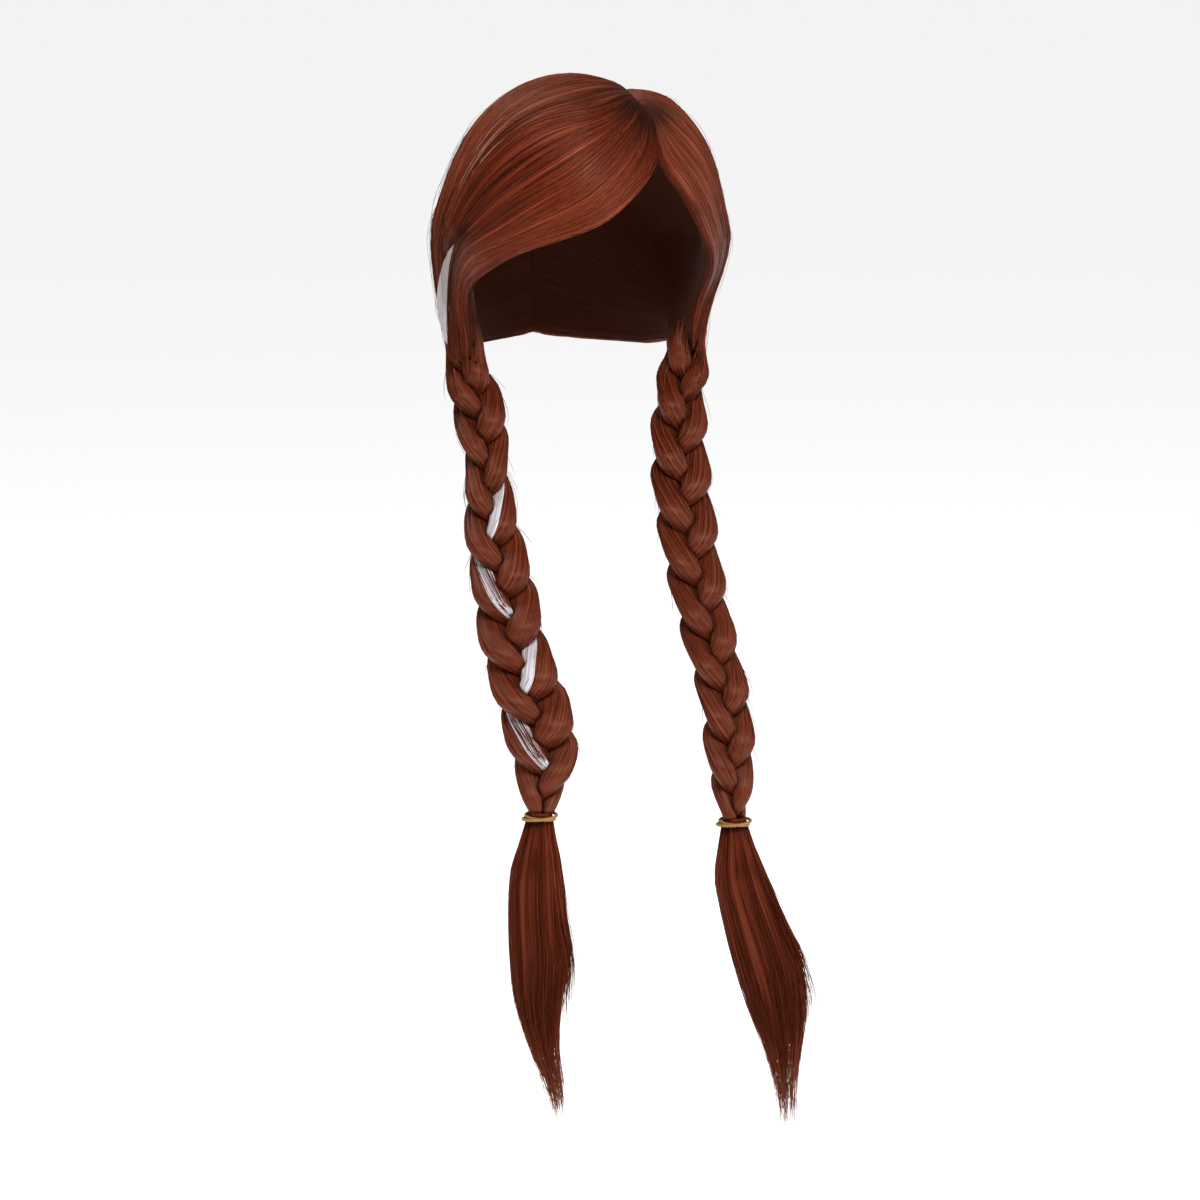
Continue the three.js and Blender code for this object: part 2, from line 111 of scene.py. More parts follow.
def between(values, t, pick):
    """Catmull-Rom: the cubic through evenly spaced values whose slope at each is half the
    difference of its neighbours. Past an end, the values go on in a straight line."""
    last = len(values) - 1
    place = np.clip(t, 0, 1) * last
    i = np.minimum(place.astype(int), last - 1)
    ends = 2 * values[:1] - values[1:2], 2 * values[-1:] - values[-2:-1]
    whole = np.concatenate([ends[0], values, ends[1]])
    a, b, c, d = (pick(whole, i + k) for k in range(4))
    f = (place - i).reshape(place.shape + (1,) * (b.ndim - place.ndim))
    return b + 0.5 * f * (c - a + f * (2 * a - 5 * b + 4 * c - d + f * (3 * b - a - 3 * c + d)))


def through(values, t):
    """The cubic through one list of values."""
    return between(np.asarray(values, float), np.asarray(t, float), lambda whole, i: whole[i])


def along_line(stations, t):
    """The cubic through a first axis of stations, with its own t for each point."""
    pick = lambda whole, i: np.take_along_axis(whole, i[None, ..., None], 0)[0]
    return between(stations, t, pick)


def unit(vectors):
    """Each vector divided by its length."""
    return vectors / np.maximum(np.linalg.norm(vectors, axis=-1, keepdims=True), 1e-9)


def noise(x, y, seed, cells=256):
    """Value noise: random numbers from 0 to 1 at whole x and y, blended between them by
    3s^2 - 2s^3. It repeats after that many cells of x."""
    table = np.random.default_rng(seed).random((cells, 256))
    xi, yi = np.floor(x).astype(int), np.floor(y).astype(int)
    fx, fy = smooth(0, 1, x - xi), smooth(0, 1, y - yi)
    at = lambda dx, dy: table[(xi + dx) % cells, (yi + dy) % 256]
    low = at(0, 0) * (1 - fx) + at(1, 0) * fx
    high = at(0, 1) * (1 - fx) + at(1, 1) * fx
    return low * (1 - fy) + high * fy


# How the hair runs over the head, as shares of its half sizes: [side, front, up]. Each row is a
# line from its root to the gather, and the last number is its depth.
parting = parting_side / head_half_width
whorl = [parting, whorl_forward / head_front, 0.85]
STATIONS = ("root", "crest", "brow", "temple", "ear")


def rows(*lines):
    """The rows as arrays by the names of their stations."""
    named = {name: np.array([line[k] for line in lines], float) for k, name in enumerate(STATIONS)}
    named["depth"] = np.array([line[5] for line in lines], float)
    return named


BACK = [0, -0.88, 0.48], [0.2, -0.87, 0.44], [0.48, -0.79, 0.34], [0.74, -0.65, 0.14]
BACK_LOW = [0, -0.99, -0.05], [0.17, -0.97, -0.09], [0.4, -0.89, -0.15], [0.65, -0.71, -0.19]
NAPE = [0, -0.93, -0.36], [0.17, -0.91, -0.37], [0.38, -0.84, -0.38], [0.61, -0.69, -0.385]


def mirrored(line):
    """A line of stations on the other side."""
    return [[-side, front, up] for side, front, up in line]


right_rows = rows(
    (whorl, [0.335, 0.74, 0.575], [-0.13, 0.965, 0.235], [-0.7, 0.71, 0.035],
     [-0.965, 0.22, -0.13], 0.35),
    ([parting, 0.35, 0.875], [0.13, 0.7, 0.7], [-0.27, 0.86, 0.43], [-0.72, 0.66, 0.18],
     [-0.965, 0.22, -0.06], 0.75),
    ([parting, 0.27, 0.9], [-0.08, 0.54, 0.83], [-0.53, 0.44, 0.72], [-0.87, 0.25, 0.42],
     [-0.985, 0.13, 0.02], 1),
    ([parting, 0, 0.94], [-0.12, 0, 0.99], [-0.6, 0, 0.8], [-0.93, -0.03, 0.38],
     [-0.99, -0.05, 0], 1),
    ([parting, -0.5, 0.8], [-0.1, -0.5, 0.86], [-0.52, -0.46, 0.72], [-0.84, -0.4, 0.38],
     [-0.95, -0.26, -0.02], 1),
    (*mirrored(BACK), [-0.9, -0.4, -0.1], 0.95),
    (*mirrored(BACK_LOW), [-0.84, -0.46, -0.24], 0.85),
    (*mirrored(NAPE), [-0.81, -0.44, -0.385], 0.5),
)
left_rows = rows(
    (whorl, [0.4, 0.725, 0.565], [0.575, 0.735, 0.35], [0.8, 0.59, 0.1],
     [0.96, 0.24, -0.14], 0.35),
    ([parting, 0.22, 0.91], [0.55, 0.3, 0.78], [0.77, 0.3, 0.56], [0.92, 0.24, 0.27],
     [0.985, 0.14, -0.06], 1),
    ([parting, 0, 0.94], [0.6, -0.06, 0.8], [0.84, -0.06, 0.55], [0.97, -0.06, 0.26],
     [0.985, -0.07, -0.04], 1.05),
    ([parting, -0.5, 0.8], [0.56, -0.45, 0.7], [0.77, -0.4, 0.49], [0.89, -0.34, 0.23],
     [0.95, -0.25, -0.05], 1),
    (*BACK, [0.9, -0.4, -0.1], 0.95),
    (*BACK_LOW, [0.84, -0.46, -0.24], 0.85),
    (*NAPE, [0.81, -0.44, -0.385], 0.5),
)
right_hair = {
    "gather": -right_gather_side,
    "rows": right_rows,
    "depths": [0.66, 0.77, 0.82, 0.72, 0.98, 1],
    "seed": 11,
}
left_hair = {
    "gather": left_gather_side,
    "rows": left_rows,
    "depths": [1.1, 1.12, 1.18, 1.08, 1.34, 1.4],
    "seed": 23,
}
FRINGE_SEAM = 2


def hair_point(hair, across, along, layer, lift=0.0):
    """A point of a side's hair. The line of share across is read from root to gather at along,
    put on the head's ellipsoid and moved out by layer times the hair's depth, and by lift away
    from the middle of that depth. The last stretch blends into an upright bundle whose section
    is an ellipse."""
    table = hair["rows"]
    side = np.sign(hair["gather"])
    across, along = np.broadcast_arrays(np.asarray(across, float), np.asarray(along, float))
    u = across / (len(table["depth"]) - 1)
    stations = [through(table[name], u) for name in STATIONS]
    end = np.array([side * 0.9, -gather_back / head_back, -0.36])
    share = unit(along_line(np.stack([*stations, np.broadcast_to(end, u.shape + (3,))]), along))
    half = np.stack([
        np.full(u.shape, head_half_width),
        np.where(share[..., 1] > 0, head_front, head_back),
        np.where(share[..., 2] > 0, crown_rise, side_fall),
    ], -1)
    turned = share * [1, -1, 1]
    outward = unit(turned / half)
    full = hair_depth * through(hair["depths"], along) * through(table["depth"], u)
    depth = parting_depth + (full - parting_depth) * smooth(0, 0.2, along)
    spread = 2 * layer - 1
    away = np.sign(spread + 1e-9) * lift
    on_head = turned * half - [0, 0, crown_rise] + outward * (layer * depth + away)[..., None]
    turn = np.radians(12 + 156 * u)
    way = np.stack([side * np.sin(turn), -np.cos(turn), 0 * u], -1)
    bundle = np.stack([
        hair["gather"] + side * gather_half_width * np.sin(turn) * spread,
        gather_back - gather_half_depth * np.cos(turn),
        (1 - along) * gather_column * (1 - 0.7 * u * u) - gather_drop,
    ], -1) + way * np.broadcast_to(away, u.shape)[..., None]
    mix = smooth(0.72, 1, along)[..., None]
    return on_head + (bundle - on_head) * mix


def rows_for(hair, across, along, distance):
    """How far to move across the rows, at one place, for a distance in millimetres."""
    nudge = 0.02
    here = hair_point(hair, across, along, 1)
    there = hair_point(hair, across + nudge, along, 1)
    return distance * nudge / np.linalg.norm(here - there, axis=-1)


right_route = [
    (1, -0.075, 0.57, 1.1), (0.925, 0.043, 0.76, 1.06), (0.92, 0.188, 0.61, 1),
    (0.955, 0.368, 0.78, 0.98), (0.935, 0.548, 0.89, 0.98), (0.92, 0.716, 0.95, 1),
    (0.825, 0.857, 1.03, 1), (0.762, 0.949, 0.93, 0.92), (0.813, 0.991, 0.4, 0.62),
]
left_route = [
    (1, -0.075, 0.62, 1.1), (0.885, 0.049, 0.75, 1.06), (0.818, 0.202, 0.84, 1.02),
    (0.785, 0.391, 0.84, 0.98), (0.788, 0.576, 0.79, 0.96), (0.823, 0.747, 0.75, 0.94),
    (0.887, 0.881, 0.71, 0.9), (0.895, 0.962, 0.69, 0.82), (0.909, 0.999, 0.37, 0.6),
]
right_braid = {
    "name": "right", "gather": -right_gather_side, "route": right_route,
    "length": 272.0, "facing": math.radians(-20), "lead": 0.947, "seed": 41,
}
left_braid = {
    "name": "left", "gather": left_gather_side, "route": left_route,
    "length": 283.0, "facing": math.radians(-4), "lead": 0.19, "seed": 57,
}


def braid_axes(braid):
    """The level directions across a braid's face and out of it."""
    c, s = math.cos(braid["facing"]), math.sin(braid["facing"])
    return np.array([c, s, 0.0]), np.array([s, -c, 0.0])


def braid_middle(braid, drop):
    """The middle line: side and forward shares through the route, and an even fall."""
    route = through(braid["route"], drop)
    return np.stack([
        braid["gather"] * route[..., 0],
        -braid_reach * route[..., 1],
        -gather_drop - face_gap - braid["length"] * drop,
    ], -1)


def strand_turn(braid, strand, drop):
    """How far a strand has gone round its weave. Above the braid it stays as it starts."""
    return 2 * np.pi * (braid["lead"] + np.maximum(drop, 0) * braid_periods + strand / 3)


def strand_place(braid, strand, drop):
    """A strand's middle in the braid's plane: reach times (s, -sin 2 turn), where s is sin turn
    made fuller at its sides by the cubic 1.4 sin - 0.4 sin^3."""
    turn = strand_turn(braid, strand, drop)
    reach = weave_share * braid_half_width * through(braid["route"], drop)[..., 2]
    swing = np.sin(turn)
    return np.stack([reach * swing * (1.4 - 0.4 * swing ** 2), -reach * np.sin(2 * turn)], -1)


def free_radius(braid, drop):
    """A strand's radius where nothing presses on it."""
    return (1 - weave_share) * braid_half_width * through(braid["route"], drop)[..., 2]


def neighbours(braid, strand, drop, angle):
    """For each other strand, how squarely an angle faces it and how far off its middle is."""
    own = strand_place(braid, strand, drop)
    for step in (1, 2):
        away = strand_place(braid, (strand + step) % 3, drop) - own
        facing = np.cos(angle - np.arctan2(away[..., 1], away[..., 0]))
        yield np.maximum(facing, 0), np.linalg.norm(away, axis=-1)


def strand_radius(braid, strand, drop, angle):
    """Its free round outline, limited by the lines half way to the other strands: the inverse
    eighth root of the sum of the limits' inverse eighth powers, which rounds the corners."""
    total = free_radius(braid, drop) ** -8.0
    for facing, gap in neighbours(braid, strand, drop, angle):
        total = total + (facing / (gap / 2 - strand_gap / 2)) ** 8
    return total ** -0.125


def strand_point(braid, strand, drop, angle, share=1.0, lift=0.0):
    """A point at share of the radius plus lift, with the section's depth flattened."""
    across, out = braid_axes(braid)
    route = through(braid["route"], drop)
    radius = share * strand_radius(braid, strand, drop, angle) + lift
    place = strand_place(braid, strand, drop)
    x = place[..., 0] + radius * np.cos(angle)
    y = place[..., 1] + radius * np.sin(angle)
    flatten = braid_half_depth * route[..., 3] / (braid_half_width * route[..., 2])
    return (
        braid_middle(braid, drop)
        + x[..., None] * across
        + (y * flatten)[..., None] * out
    )


def grid_faces(count_v, count_u, start=0, closed=False):
    """Quads of a grid of count_v rows of count_u points, with their corners' row and column. A
    closed grid's last column goes on to the first."""
    columns = count_u if closed else count_u - 1
    v, u = np.meshgrid(np.arange(count_v - 1), np.arange(columns), indexing="ij")
    corner_v = np.stack([v, v, v + 1, v + 1], -1).reshape(-1, 4)
    corner_u = np.stack([u, u + 1, u + 1, u], -1).reshape(-1, 4)
    return start + corner_v * count_u + corner_u % count_u, corner_v, corner_u


def add_object(name, data):
    """A new object of the scene that shows some data."""
    thing = bpy.data.objects.new(name, data)
    bpy.context.scene.collection.objects.link(thing)
    return thing


def make_piece(name, points, groups, attributes):
    """A mesh object from points in millimetres and groups of (faces, corner uv), where the faces
    of a group have equally many corners and the uv is in metres along and across the hair."""
    loops = np.concatenate([faces.ravel() for faces, _ in groups]).astype(np.int32)
    uvs = np.concatenate([uv.reshape(-1, 2) for _, uv in groups]).astype(np.float32)
    totals = np.concatenate([np.full(len(faces), faces.shape[1]) for faces, _ in groups])
    starts = np.concatenate([[0], np.cumsum(totals)[:-1]]).astype(np.int32)
    mesh = bpy.data.meshes.new(name)
    mesh.vertices.add(len(points))
    mesh.vertices.foreach_set("co", (points * TO_METRES).astype(np.float32).ravel())
    mesh.loops.add(len(loops))
    mesh.loops.foreach_set("vertex_index", loops)
    mesh.polygons.add(len(totals))
    mesh.polygons.foreach_set("loop_start", starts)
    mesh.update(calc_edges=True)
    mesh.uv_layers.new(name="flow").data.foreach_set("uv", uvs.ravel())
    for key, values in attributes.items():
        whole = np.array(np.broadcast_to(np.ravel(values), len(points)), np.float32)
        mesh.attributes.new(key, "FLOAT", "POINT").data.foreach_set("value", whole)
    mesh.polygons.foreach_set("use_smooth", np.ones(len(totals), bool))
    mesh.validate()
    return add_object(name, mesh)


def facing_out(points, groups):
    """The groups with every face turned round if the closed mesh's volume is negative."""
    volume = 0.0
    for faces, _ in groups:
        for k in range(1, faces.shape[1] - 1):
            a, b, c = points[faces[:, 0]], points[faces[:, k]], points[faces[:, k + 1]]
            volume += np.einsum("ij,ij->", a, np.cross(b, c))
    if volume > 0:
        return groups
    return [(faces[:, ::-1], uv[:, ::-1]) for faces, uv in groups]


def dress(piece, material, *nodes, slot="auburn_hair"):
    """Gives a piece its material and its body, and hides the CAD nodes that it stands for. The slot
    is not used.
    """
    piece.data.materials.append(material)
    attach(piece, "root")
    if nodes:
        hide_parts(*nodes)


# The sections of hair on the head

root_place = hair_point(right_hair, 0, 0.03, 1)
LINE_LENGTH = 300.0
ROW_WIDTH = 38.0


def root_shade(points, u, seed):
    """1 near the parting's front end, where the roots are, with streaks of uneven length."""
    distance = np.linalg.norm(points - root_place, axis=-1)
    streak = 0.5 * noise(u / 2.6, 0 * u, seed) + 0.5 * noise(u / 0.9, 0 * u, seed + 1)
    reach = (16 + 52 * streak) * (1.0 if seed == 11 else 0.55)
    return 1 - smooth(0.3 * reach, reach, distance)


def head_tone_and_painted_light(across, along, seed):
    """Painted light and shade on the head's hair: a painted highlight over the crest of the head that
    falls off darker near the roots, painted shade towards the gather, and painted shade where the
    fringe turns down at the temple, with soft patches of tone that differ at random."""
    patch = noise(across * 1.3, along * 6, seed + 9) - 0.5
    rise = 1 - smooth(2.2, 3.6, across) if seed == 11 else 0.35
    light = 0.7 - 0.33 * rise * (1 - smooth(0.16, 0.4, along))
    light = light - 0.06 * smooth(0.3, 0.5, along) - 0.3 * smooth(0.5, 0.9, along)
    # Painted shade where the fringe turns down at the temple
    temple = smooth(0.6, 1.5, across) * (1 - smooth(2.0, 2.5, across)) * (seed == 11)
    light = light - 0.14 * (seed == 23) * (1 - smooth(1, 2.5, across)) * smooth(0.3, 0.6, along)
    return light + 0.16 * patch - 0.4 * temple * smooth(0.0, 0.62, along)


def combed(across, along, seed):
    """Locks and fibres along the hair, in millimetres from 0 down to about -1: noise that is
    short across the hair and long along it, folded so that its creases are sharp."""
    u, v = across * ROW_WIDTH, along * LINE_LENGTH
    bend = noise(u / 40, v / 90, seed) - 0.5
    wide = noise((u + 9 * bend) / 8, v / 140, seed + 1)
    lock = noise((u + 6 * bend) / 3.2, v / 90, seed + 2)
    fine = noise(u / 1.3, v / 70, seed + 3)
    return -(0.13 * (1 - np.abs(2 * wide - 1)) + 0.09 * np.abs(2 * lock - 1) + 0.16 * fine)


def head_lift(across, along, seed, proud):
    """The combed relief, a crease at the parting that is deepest in front, with the hair risen
    beside it, and what the section stands proud."""
    front = 1 - smooth(1, 4, across)
    crease = (0.4 + 0.8 * front) * smooth(0.01, 0.05, along) * (1 - smooth(0.05, 0.2, along))
    crease = crease - (1.4 + 2.8 * front) * (1 - smooth(0, 0.03, along))
    drawn_in = 4.5 * smooth(0.94, 1, along) ** 2
    return combed(across, along, seed) * smooth(0, 0.012, along) + crease - drawn_in + proud(along)


def level(along):
    return 0 * along


def hair_section(name, hair, first, last, counts, start=0.0, proud=level, inside=0.0):
    """A closed section between two lines of hair. Its outer grid has the relief and round
    edges, and its inner one has a sixth as many columns. Strips close the sides and ends."""
    count_v, few = counts
    step = 6
    count_u = (few - 1) * step + 1
    line = start + (1 - start) * np.linspace(0, 1, count_v)
    low, high = first(line)[:, None], last(line)[:, None]
    g = np.linspace(0, 1, count_u)
    across = low + (high - low) * g
    along = np.broadcast_to(line[:, None], across.shape)
    plain = hair_point(hair, across, along, 1)
    breadth = np.linalg.norm(np.diff(plain, axis=1), axis=-1).sum(1)[:, None]
    edge = np.minimum(g, 1 - g) * breadth
    lift = head_lift(across, along, hair["seed"], proud) - 1.4 * (1 - smooth(0, 2, edge)) ** 2
    outer = hair_point(hair, across, along, 1, lift)
    few_along = along[:, ::step]
    layer = inside + (0.46 - inside) * smooth(0.92, 0.99, few_along)
    inner = hair_point(hair, across[:, ::step], few_along, layer)
    points = np.concatenate([outer.reshape(-1, 3), inner.reshape(-1, 3)])
    flow = np.stack([across * ROW_WIDTH, along * LINE_LENGTH], -1) * TO_METRES
    groups = section_faces(flow, count_v, count_u, few, step)
    u = np.concatenate([across.ravel(), across[:, ::step].ravel()]) * ROW_WIDTH
    # Painted shade: the inner grid takes the dark colour of the inside
    under = np.concatenate([np.zeros(outer.size // 3), np.ones(inner.size // 3)])
    # Painted shade: the crease mask darkens a line along the parting, the combed grooves and the
    # whole inner grid
    seam = 1.1 * (1 - smooth(0, 0.01, along))
    relief = np.concatenate([
        (seam - combed(across, along, hair["seed"])).ravel(), np.full(inner.size // 3, 0.9)
    ])
    # The tone carries the head's painted highlight and shade, and its random patches
    tone = head_tone_and_painted_light(across, along, hair["seed"])
    attributes = {
        "root": root_shade(points, u, hair["seed"]),
        "valley": relief,
        "under": under,
        "tone": np.concatenate([tone.ravel(), tone[:, ::step].ravel()]),
    }
    return make_piece(name, points, facing_out(points, groups), attributes)


def section_faces(flow, count_v, count_u, few, step):
    """The faces of an outer grid, an inner grid below it, and the strips between their rims."""
    faces, cv, cu = grid_faces(count_v, count_u)
    back, bv, bu = grid_faces(count_v, few, start=count_v * count_u)
    groups = [(faces, flow[cv, cu]), (back[:, ::-1], flow[bv, bu * step][:, ::-1])]
    top = lambda r, c: r * count_u + c
    under = lambda r, c: count_v * count_u + r * few + c
    r = np.arange(count_v - 1)
    for c, f, turned in ((0, 0, False), (count_u - 1, few - 1, True)):
        strip = np.stack([top(r, c), top(r + 1, c), under(r + 1, f), under(r, f)], -1)
        strip_uv = flow[np.stack([r, r + 1, r + 1, r], -1), c]
        groups.append((strip[:, ::-1], strip_uv[:, ::-1]) if turned else (strip, strip_uv))
    k = np.arange(few - 1)
    for end, turned in ((0, True), (count_v - 1, False)):
        columns = [k * step + j for j in range(step + 1)] + [(k + 1) * step, k * step]
        ring = [top(end, c) for c in columns[: step + 1]] + [under(end, k + 1), under(end, k)]
        ring, ring_uv = np.stack(ring, -1), flow[end][np.stack(columns, -1)]
        groups.append((ring, ring_uv) if turned else (ring[:, ::-1], ring_uv[:, ::-1]))
    return groups


# Single strands

def strand_mesh(name, paths, normals, radius, tone, root=0.0, under=0.0, sides=3, wide=1.0):
    """Thin closed tubes along paths (strand, step, xyz): at each step, points at even turns
    round the tangent, at that step's radius, which is wide times as much across."""
    count, stops = paths.shape[:2]
    tangent = unit(np.gradient(paths, axis=1))
    side = unit(np.cross(tangent, normals))
    up = np.cross(side, tangent)
    turns = np.pi / 2 + 2 * np.pi * np.arange(sides) / sides
    ring = wide * np.cos(turns)[:, None] * side[:, :, None]
    ring = ring + np.sin(turns)[:, None] * up[:, :, None]
    points = (paths[:, :, None] + ring * radius[:, :, None, None]).reshape(-1, 3)
    s, j, c = np.meshgrid(np.arange(count), np.arange(stops - 1), np.arange(sides), indexing="ij")
    at = lambda j, c: (s * stops + j) * sides + c % sides
    faces = np.stack([at(j, c), at(j, c + 1), at(j + 1, c + 1), at(j + 1, c)], -1).reshape(-1, 4)
    length = np.linalg.norm(np.diff(paths, axis=1), axis=-1).cumsum(1)
    length = np.concatenate([np.zeros((count, 1)), length], 1)
    step = 0.9 * wide / sides
    left = rng.random((count, 1, 1)) * 40 + c * step
    low, high = length[s, j], length[s, j + 1]
    corners = (left, low), (left + step, low), (left + step, high), (left, high)
    uv = np.stack([np.stack(corner, -1) for corner in corners], -2).reshape(-1, 4, 2) * TO_METRES
    first = np.arange(count)[:, None] * stops * sides
    last = first + (stops - 1) * sides
    caps = np.concatenate([first + np.arange(sides)[::-1], last + np.arange(sides)])
    groups = [(faces, uv), (caps, np.zeros((len(caps), sides, 2)))]
    # Under carries the painted shade of the inside
    spread = lambda value: np.repeat(np.broadcast_to(value, (count, stops)), sides)
    # The crease mask gives every strand a slight, even painted shade
    values = {"root": spread(root), "valley": 0.35, "under": spread(under), "tone": spread(tone)}
    return make_piece(name, points, facing_out(points, groups), values)


def taper(count, stops, thinnest, thickest, sharp=0.6):
    """Each strand's radius: even in the middle and thin at both ends."""
    t = np.linspace(0, 1, stops)
    shape = np.clip(4 * t * (1 - t), 0.02, 1) ** sharp
    return rng.uniform(thinnest, thickest, (count, 1)) * shape


def on_hair(hair, across, along, lift):
    """Paths that lie on the hair, and the direction out of it at each of their points."""
    paths = hair_point(hair, across, along, 1, lift)
    return paths, unit(hair_point(hair, across, along, 1, lift + 1) - paths)


def near_ends(t, power=0.4):
    """1 at both ends of a strand and 0 in its middle."""
    return 1 - np.sin(np.pi * t) ** power


def lock_lines(name, hair, count, stops=9):
    """Thin locks and strands along both edges of the pale lock, which hide its seams."""
    t = np.linspace(0, 1, stops)[None, :]
    begin = rng.uniform(PALE_LOCK_START - 0.05, PALE_LOCK_START + 0.12, (count, 1))
    along = np.minimum(begin + rng.uniform(0.08, 0.2, (count, 1)) * t, 0.985)
    front = rng.random((count, 1)) < 0.75
    edge = np.where(front, pale_front(along), pale_back(along))
    across = edge + np.where(front, -1, 1) * rng.uniform(-0.03, 0.14, (count, 1))
    lift = fringe_rise(along) + 0.5 + 0.5 * rng.random((count, 1))
    lift = lift - 0.9 * near_ends(t)
    paths, normals = on_hair(hair, across, along, lift)
    radius = taper(count, stops, 0.14, 0.24)
    # The tone carries the head's painted highlight and shade, varied at random for each strand
    tone = head_tone_and_painted_light(across, along, hair["seed"]) + 0.6 * (rng.random((count, 1)) - 0.5)
    return strand_mesh(name, paths, normals, radius, tone)


def head_strands(name, hair, count, sides, starts, lengths, proud=level, loose=0.5, stops=11):
    """Strands that lie along the hair of one section, at even steps between two places, with
    both ends sunk in and a slight wander across."""
    across = rng.uniform(*sides, (count, 1))
    t = np.linspace(0, 1, stops)[None, :]
    begin = starts[0] + (starts[1] - starts[0]) * rng.random((count, 1)) ** 1.5
    end = np.minimum(begin + rng.uniform(*lengths, (count, 1)), 0.985)
    along = begin + (end - begin) * t
    wander = 0.16 * (noise(across * 9, along * 2.5, hair["seed"] + 7) - 0.5)
    across = across + wander * smooth(0, 0.3, along)
    lift = head_lift(across, along, hair["seed"], proud)
    float_up = rng.random((count, 1)) ** 2 * loose + 0.12
    lift = lift + float_up * np.sin(np.pi * t) ** 0.6 - 0.45 * near_ends(t)
    paths, normals = on_hair(hair, across, along, lift)
    radius = taper(count, stops, 0.12, 0.22)
    # The tone carries the head's painted highlight and shade, varied at random for each strand
    tone = head_tone_and_painted_light(across, along, hair["seed"]) + 0.8 * (rng.random((count, 1)) - 0.5)
    root = root_shade(paths, across * ROW_WIDTH, hair["seed"])
    return strand_mesh(name, paths, normals, radius, tone, root)


def edge_strands(name, hair, edge, count, starts=(0.02, 0.75), stops=10):
    """Strands along a free edge of the hair, spread over its thickness. They stand off the edge
    in the direction away from the next line of hair."""
    t = np.linspace(0, 1, stops)[None, :]
    begin = rng.uniform(*starts, (count, 1))
    along = np.minimum(begin + rng.uniform(0.15, 0.4, (count, 1)) * t, 0.99)
    layer = np.clip(rng.uniform(-0.05, 1.02, (count, 1)) + 0.12 * t, -0.05, 1.02)
    layer = layer + (0.5 - layer) * smooth(0.9, 1, along) * 0.9
    across = edge + 0 * along
    paths = hair_point(hair, across, along, layer)
    inward = hair_point(hair, across + (0.05 if edge == 0 else -0.05), along, layer)
    away = unit(paths - inward)
    off = 0.25 + 0.5 * rng.random((count, 1)) - 0.9 * near_ends(t)
    paths = paths + away * off[..., None]
    radius = taper(count, stops, 0.13, 0.26)
    # The tone carries the head's painted highlight and shade, varied at random for each strand
    tone = head_tone_and_painted_light(across, along, hair["seed"]) + 0.7 * (rng.random((count, 1)) - 0.5)
    # Painted shade: strands low in the hair's thickness take the dark colour of the inside
    under = 0.75 * (1 - smooth(0.2, 0.9, layer))
    root = root_shade(paths, across * ROW_WIDTH + 7 * layer, hair["seed"])
    return strand_mesh(name, paths, away, radius, tone, root, under)


def stray_strands(name, hair, count, sides, starts, height, stops=12):
    """Strands that rise off the head along part of their length: their height is a power of
    the sine of their share, or grows with its square for those whose ends stand off."""
    across = rng.uniform(*sides, (count, 1))
    t = np.linspace(0, 1, stops)[None, :]
    begin = rng.uniform(*starts, (count, 1))
    along = np.minimum(begin + rng.uniform(0.1, 0.3, (count, 1)) * t, 1.02)
    across = across + 0.12 * rng.normal(0, 1, (count, 1)) * t ** 2
    ends_off = rng.random((count, 1)) < 0.5
    rise = np.where(ends_off, t ** 2, np.sin(np.pi * t) ** 1.5)
    lift = height * rng.random((count, 1)) ** 1.5 * rise - 0.4 * (1 - t)
    paths, normals = on_hair(hair, across, along, lift)
    radius = taper(count, stops, 0.09, 0.15)
    return strand_mesh(name, paths, normals, radius, rng.random((count, 1)))


# The braids

def strand_relief(f, v, seed):
    """The same combed relief round a strand, where f runs once round it."""
    bent = f + 0.05 * (noise(f * 3, v / 60, seed, 3) - 0.5)
    lock = noise(bent * 8, v / 55, seed + 1, 8)
    thin = noise(bent * 19, v / 45, seed + 2, 19)
    fine = noise(f * 44, v / 30, seed + 3, 44)
    return -(0.26 * np.abs(2 * lock - 1) + 0.2 * np.abs(2 * thin - 1) + 0.17 * fine)


def hair_angle(braid, strand, f, drop):
    """The angle at which a line of hair lies in a strand's section: it rolls as it weaves."""
    return 2 * np.pi * f - 0.6 * np.cos(strand_turn(braid, strand, drop))


def tube(rings, round_it, v, begin=0.0):
    """A closed tube from rings (row, column, xyz), with one face across each end. Its flow
    goes from begin by round_it round the rings."""
    count_v, count_u = rings.shape[:2]
    points = rings.reshape(-1, 3)
    faces, cv, cu = grid_faces(count_v, count_u, closed=True)
    uv = np.stack([round_it * (cu / count_u) + begin, v[cv]], -1) * TO_METRES
    ends = np.arange(count_u)
    caps = np.stack([ends[::-1], (count_v - 1) * count_u + ends])
    return points, facing_out(points, [(faces, uv), (caps, np.zeros((2, count_u, 2)))])


def tube_mesh(name, rings, round_it, v, valley):
    """A piece that is one closed tube."""
    values = {"root": 0.0, "valley": valley, "under": 0.0, "tone": 0.5}
    return make_piece(name, *tube(rings, round_it, v), values)


def strand_crease_shade(braid, strand, drop, angle):
    """A painted shade mask: 0 where a strand is free and 1 where a neighbour presses on it, so the
    colour darkens in the creases between strands. It grows with the free radius as a share of the
    nearer neighbour's limit."""
    free = free_radius(braid, drop)
    press = 0 * free
    for facing, gap in neighbours(braid, strand, drop, angle):
        press = np.maximum(press, free * facing / (gap / 2))
    return smooth(0.5, 1.05, press)


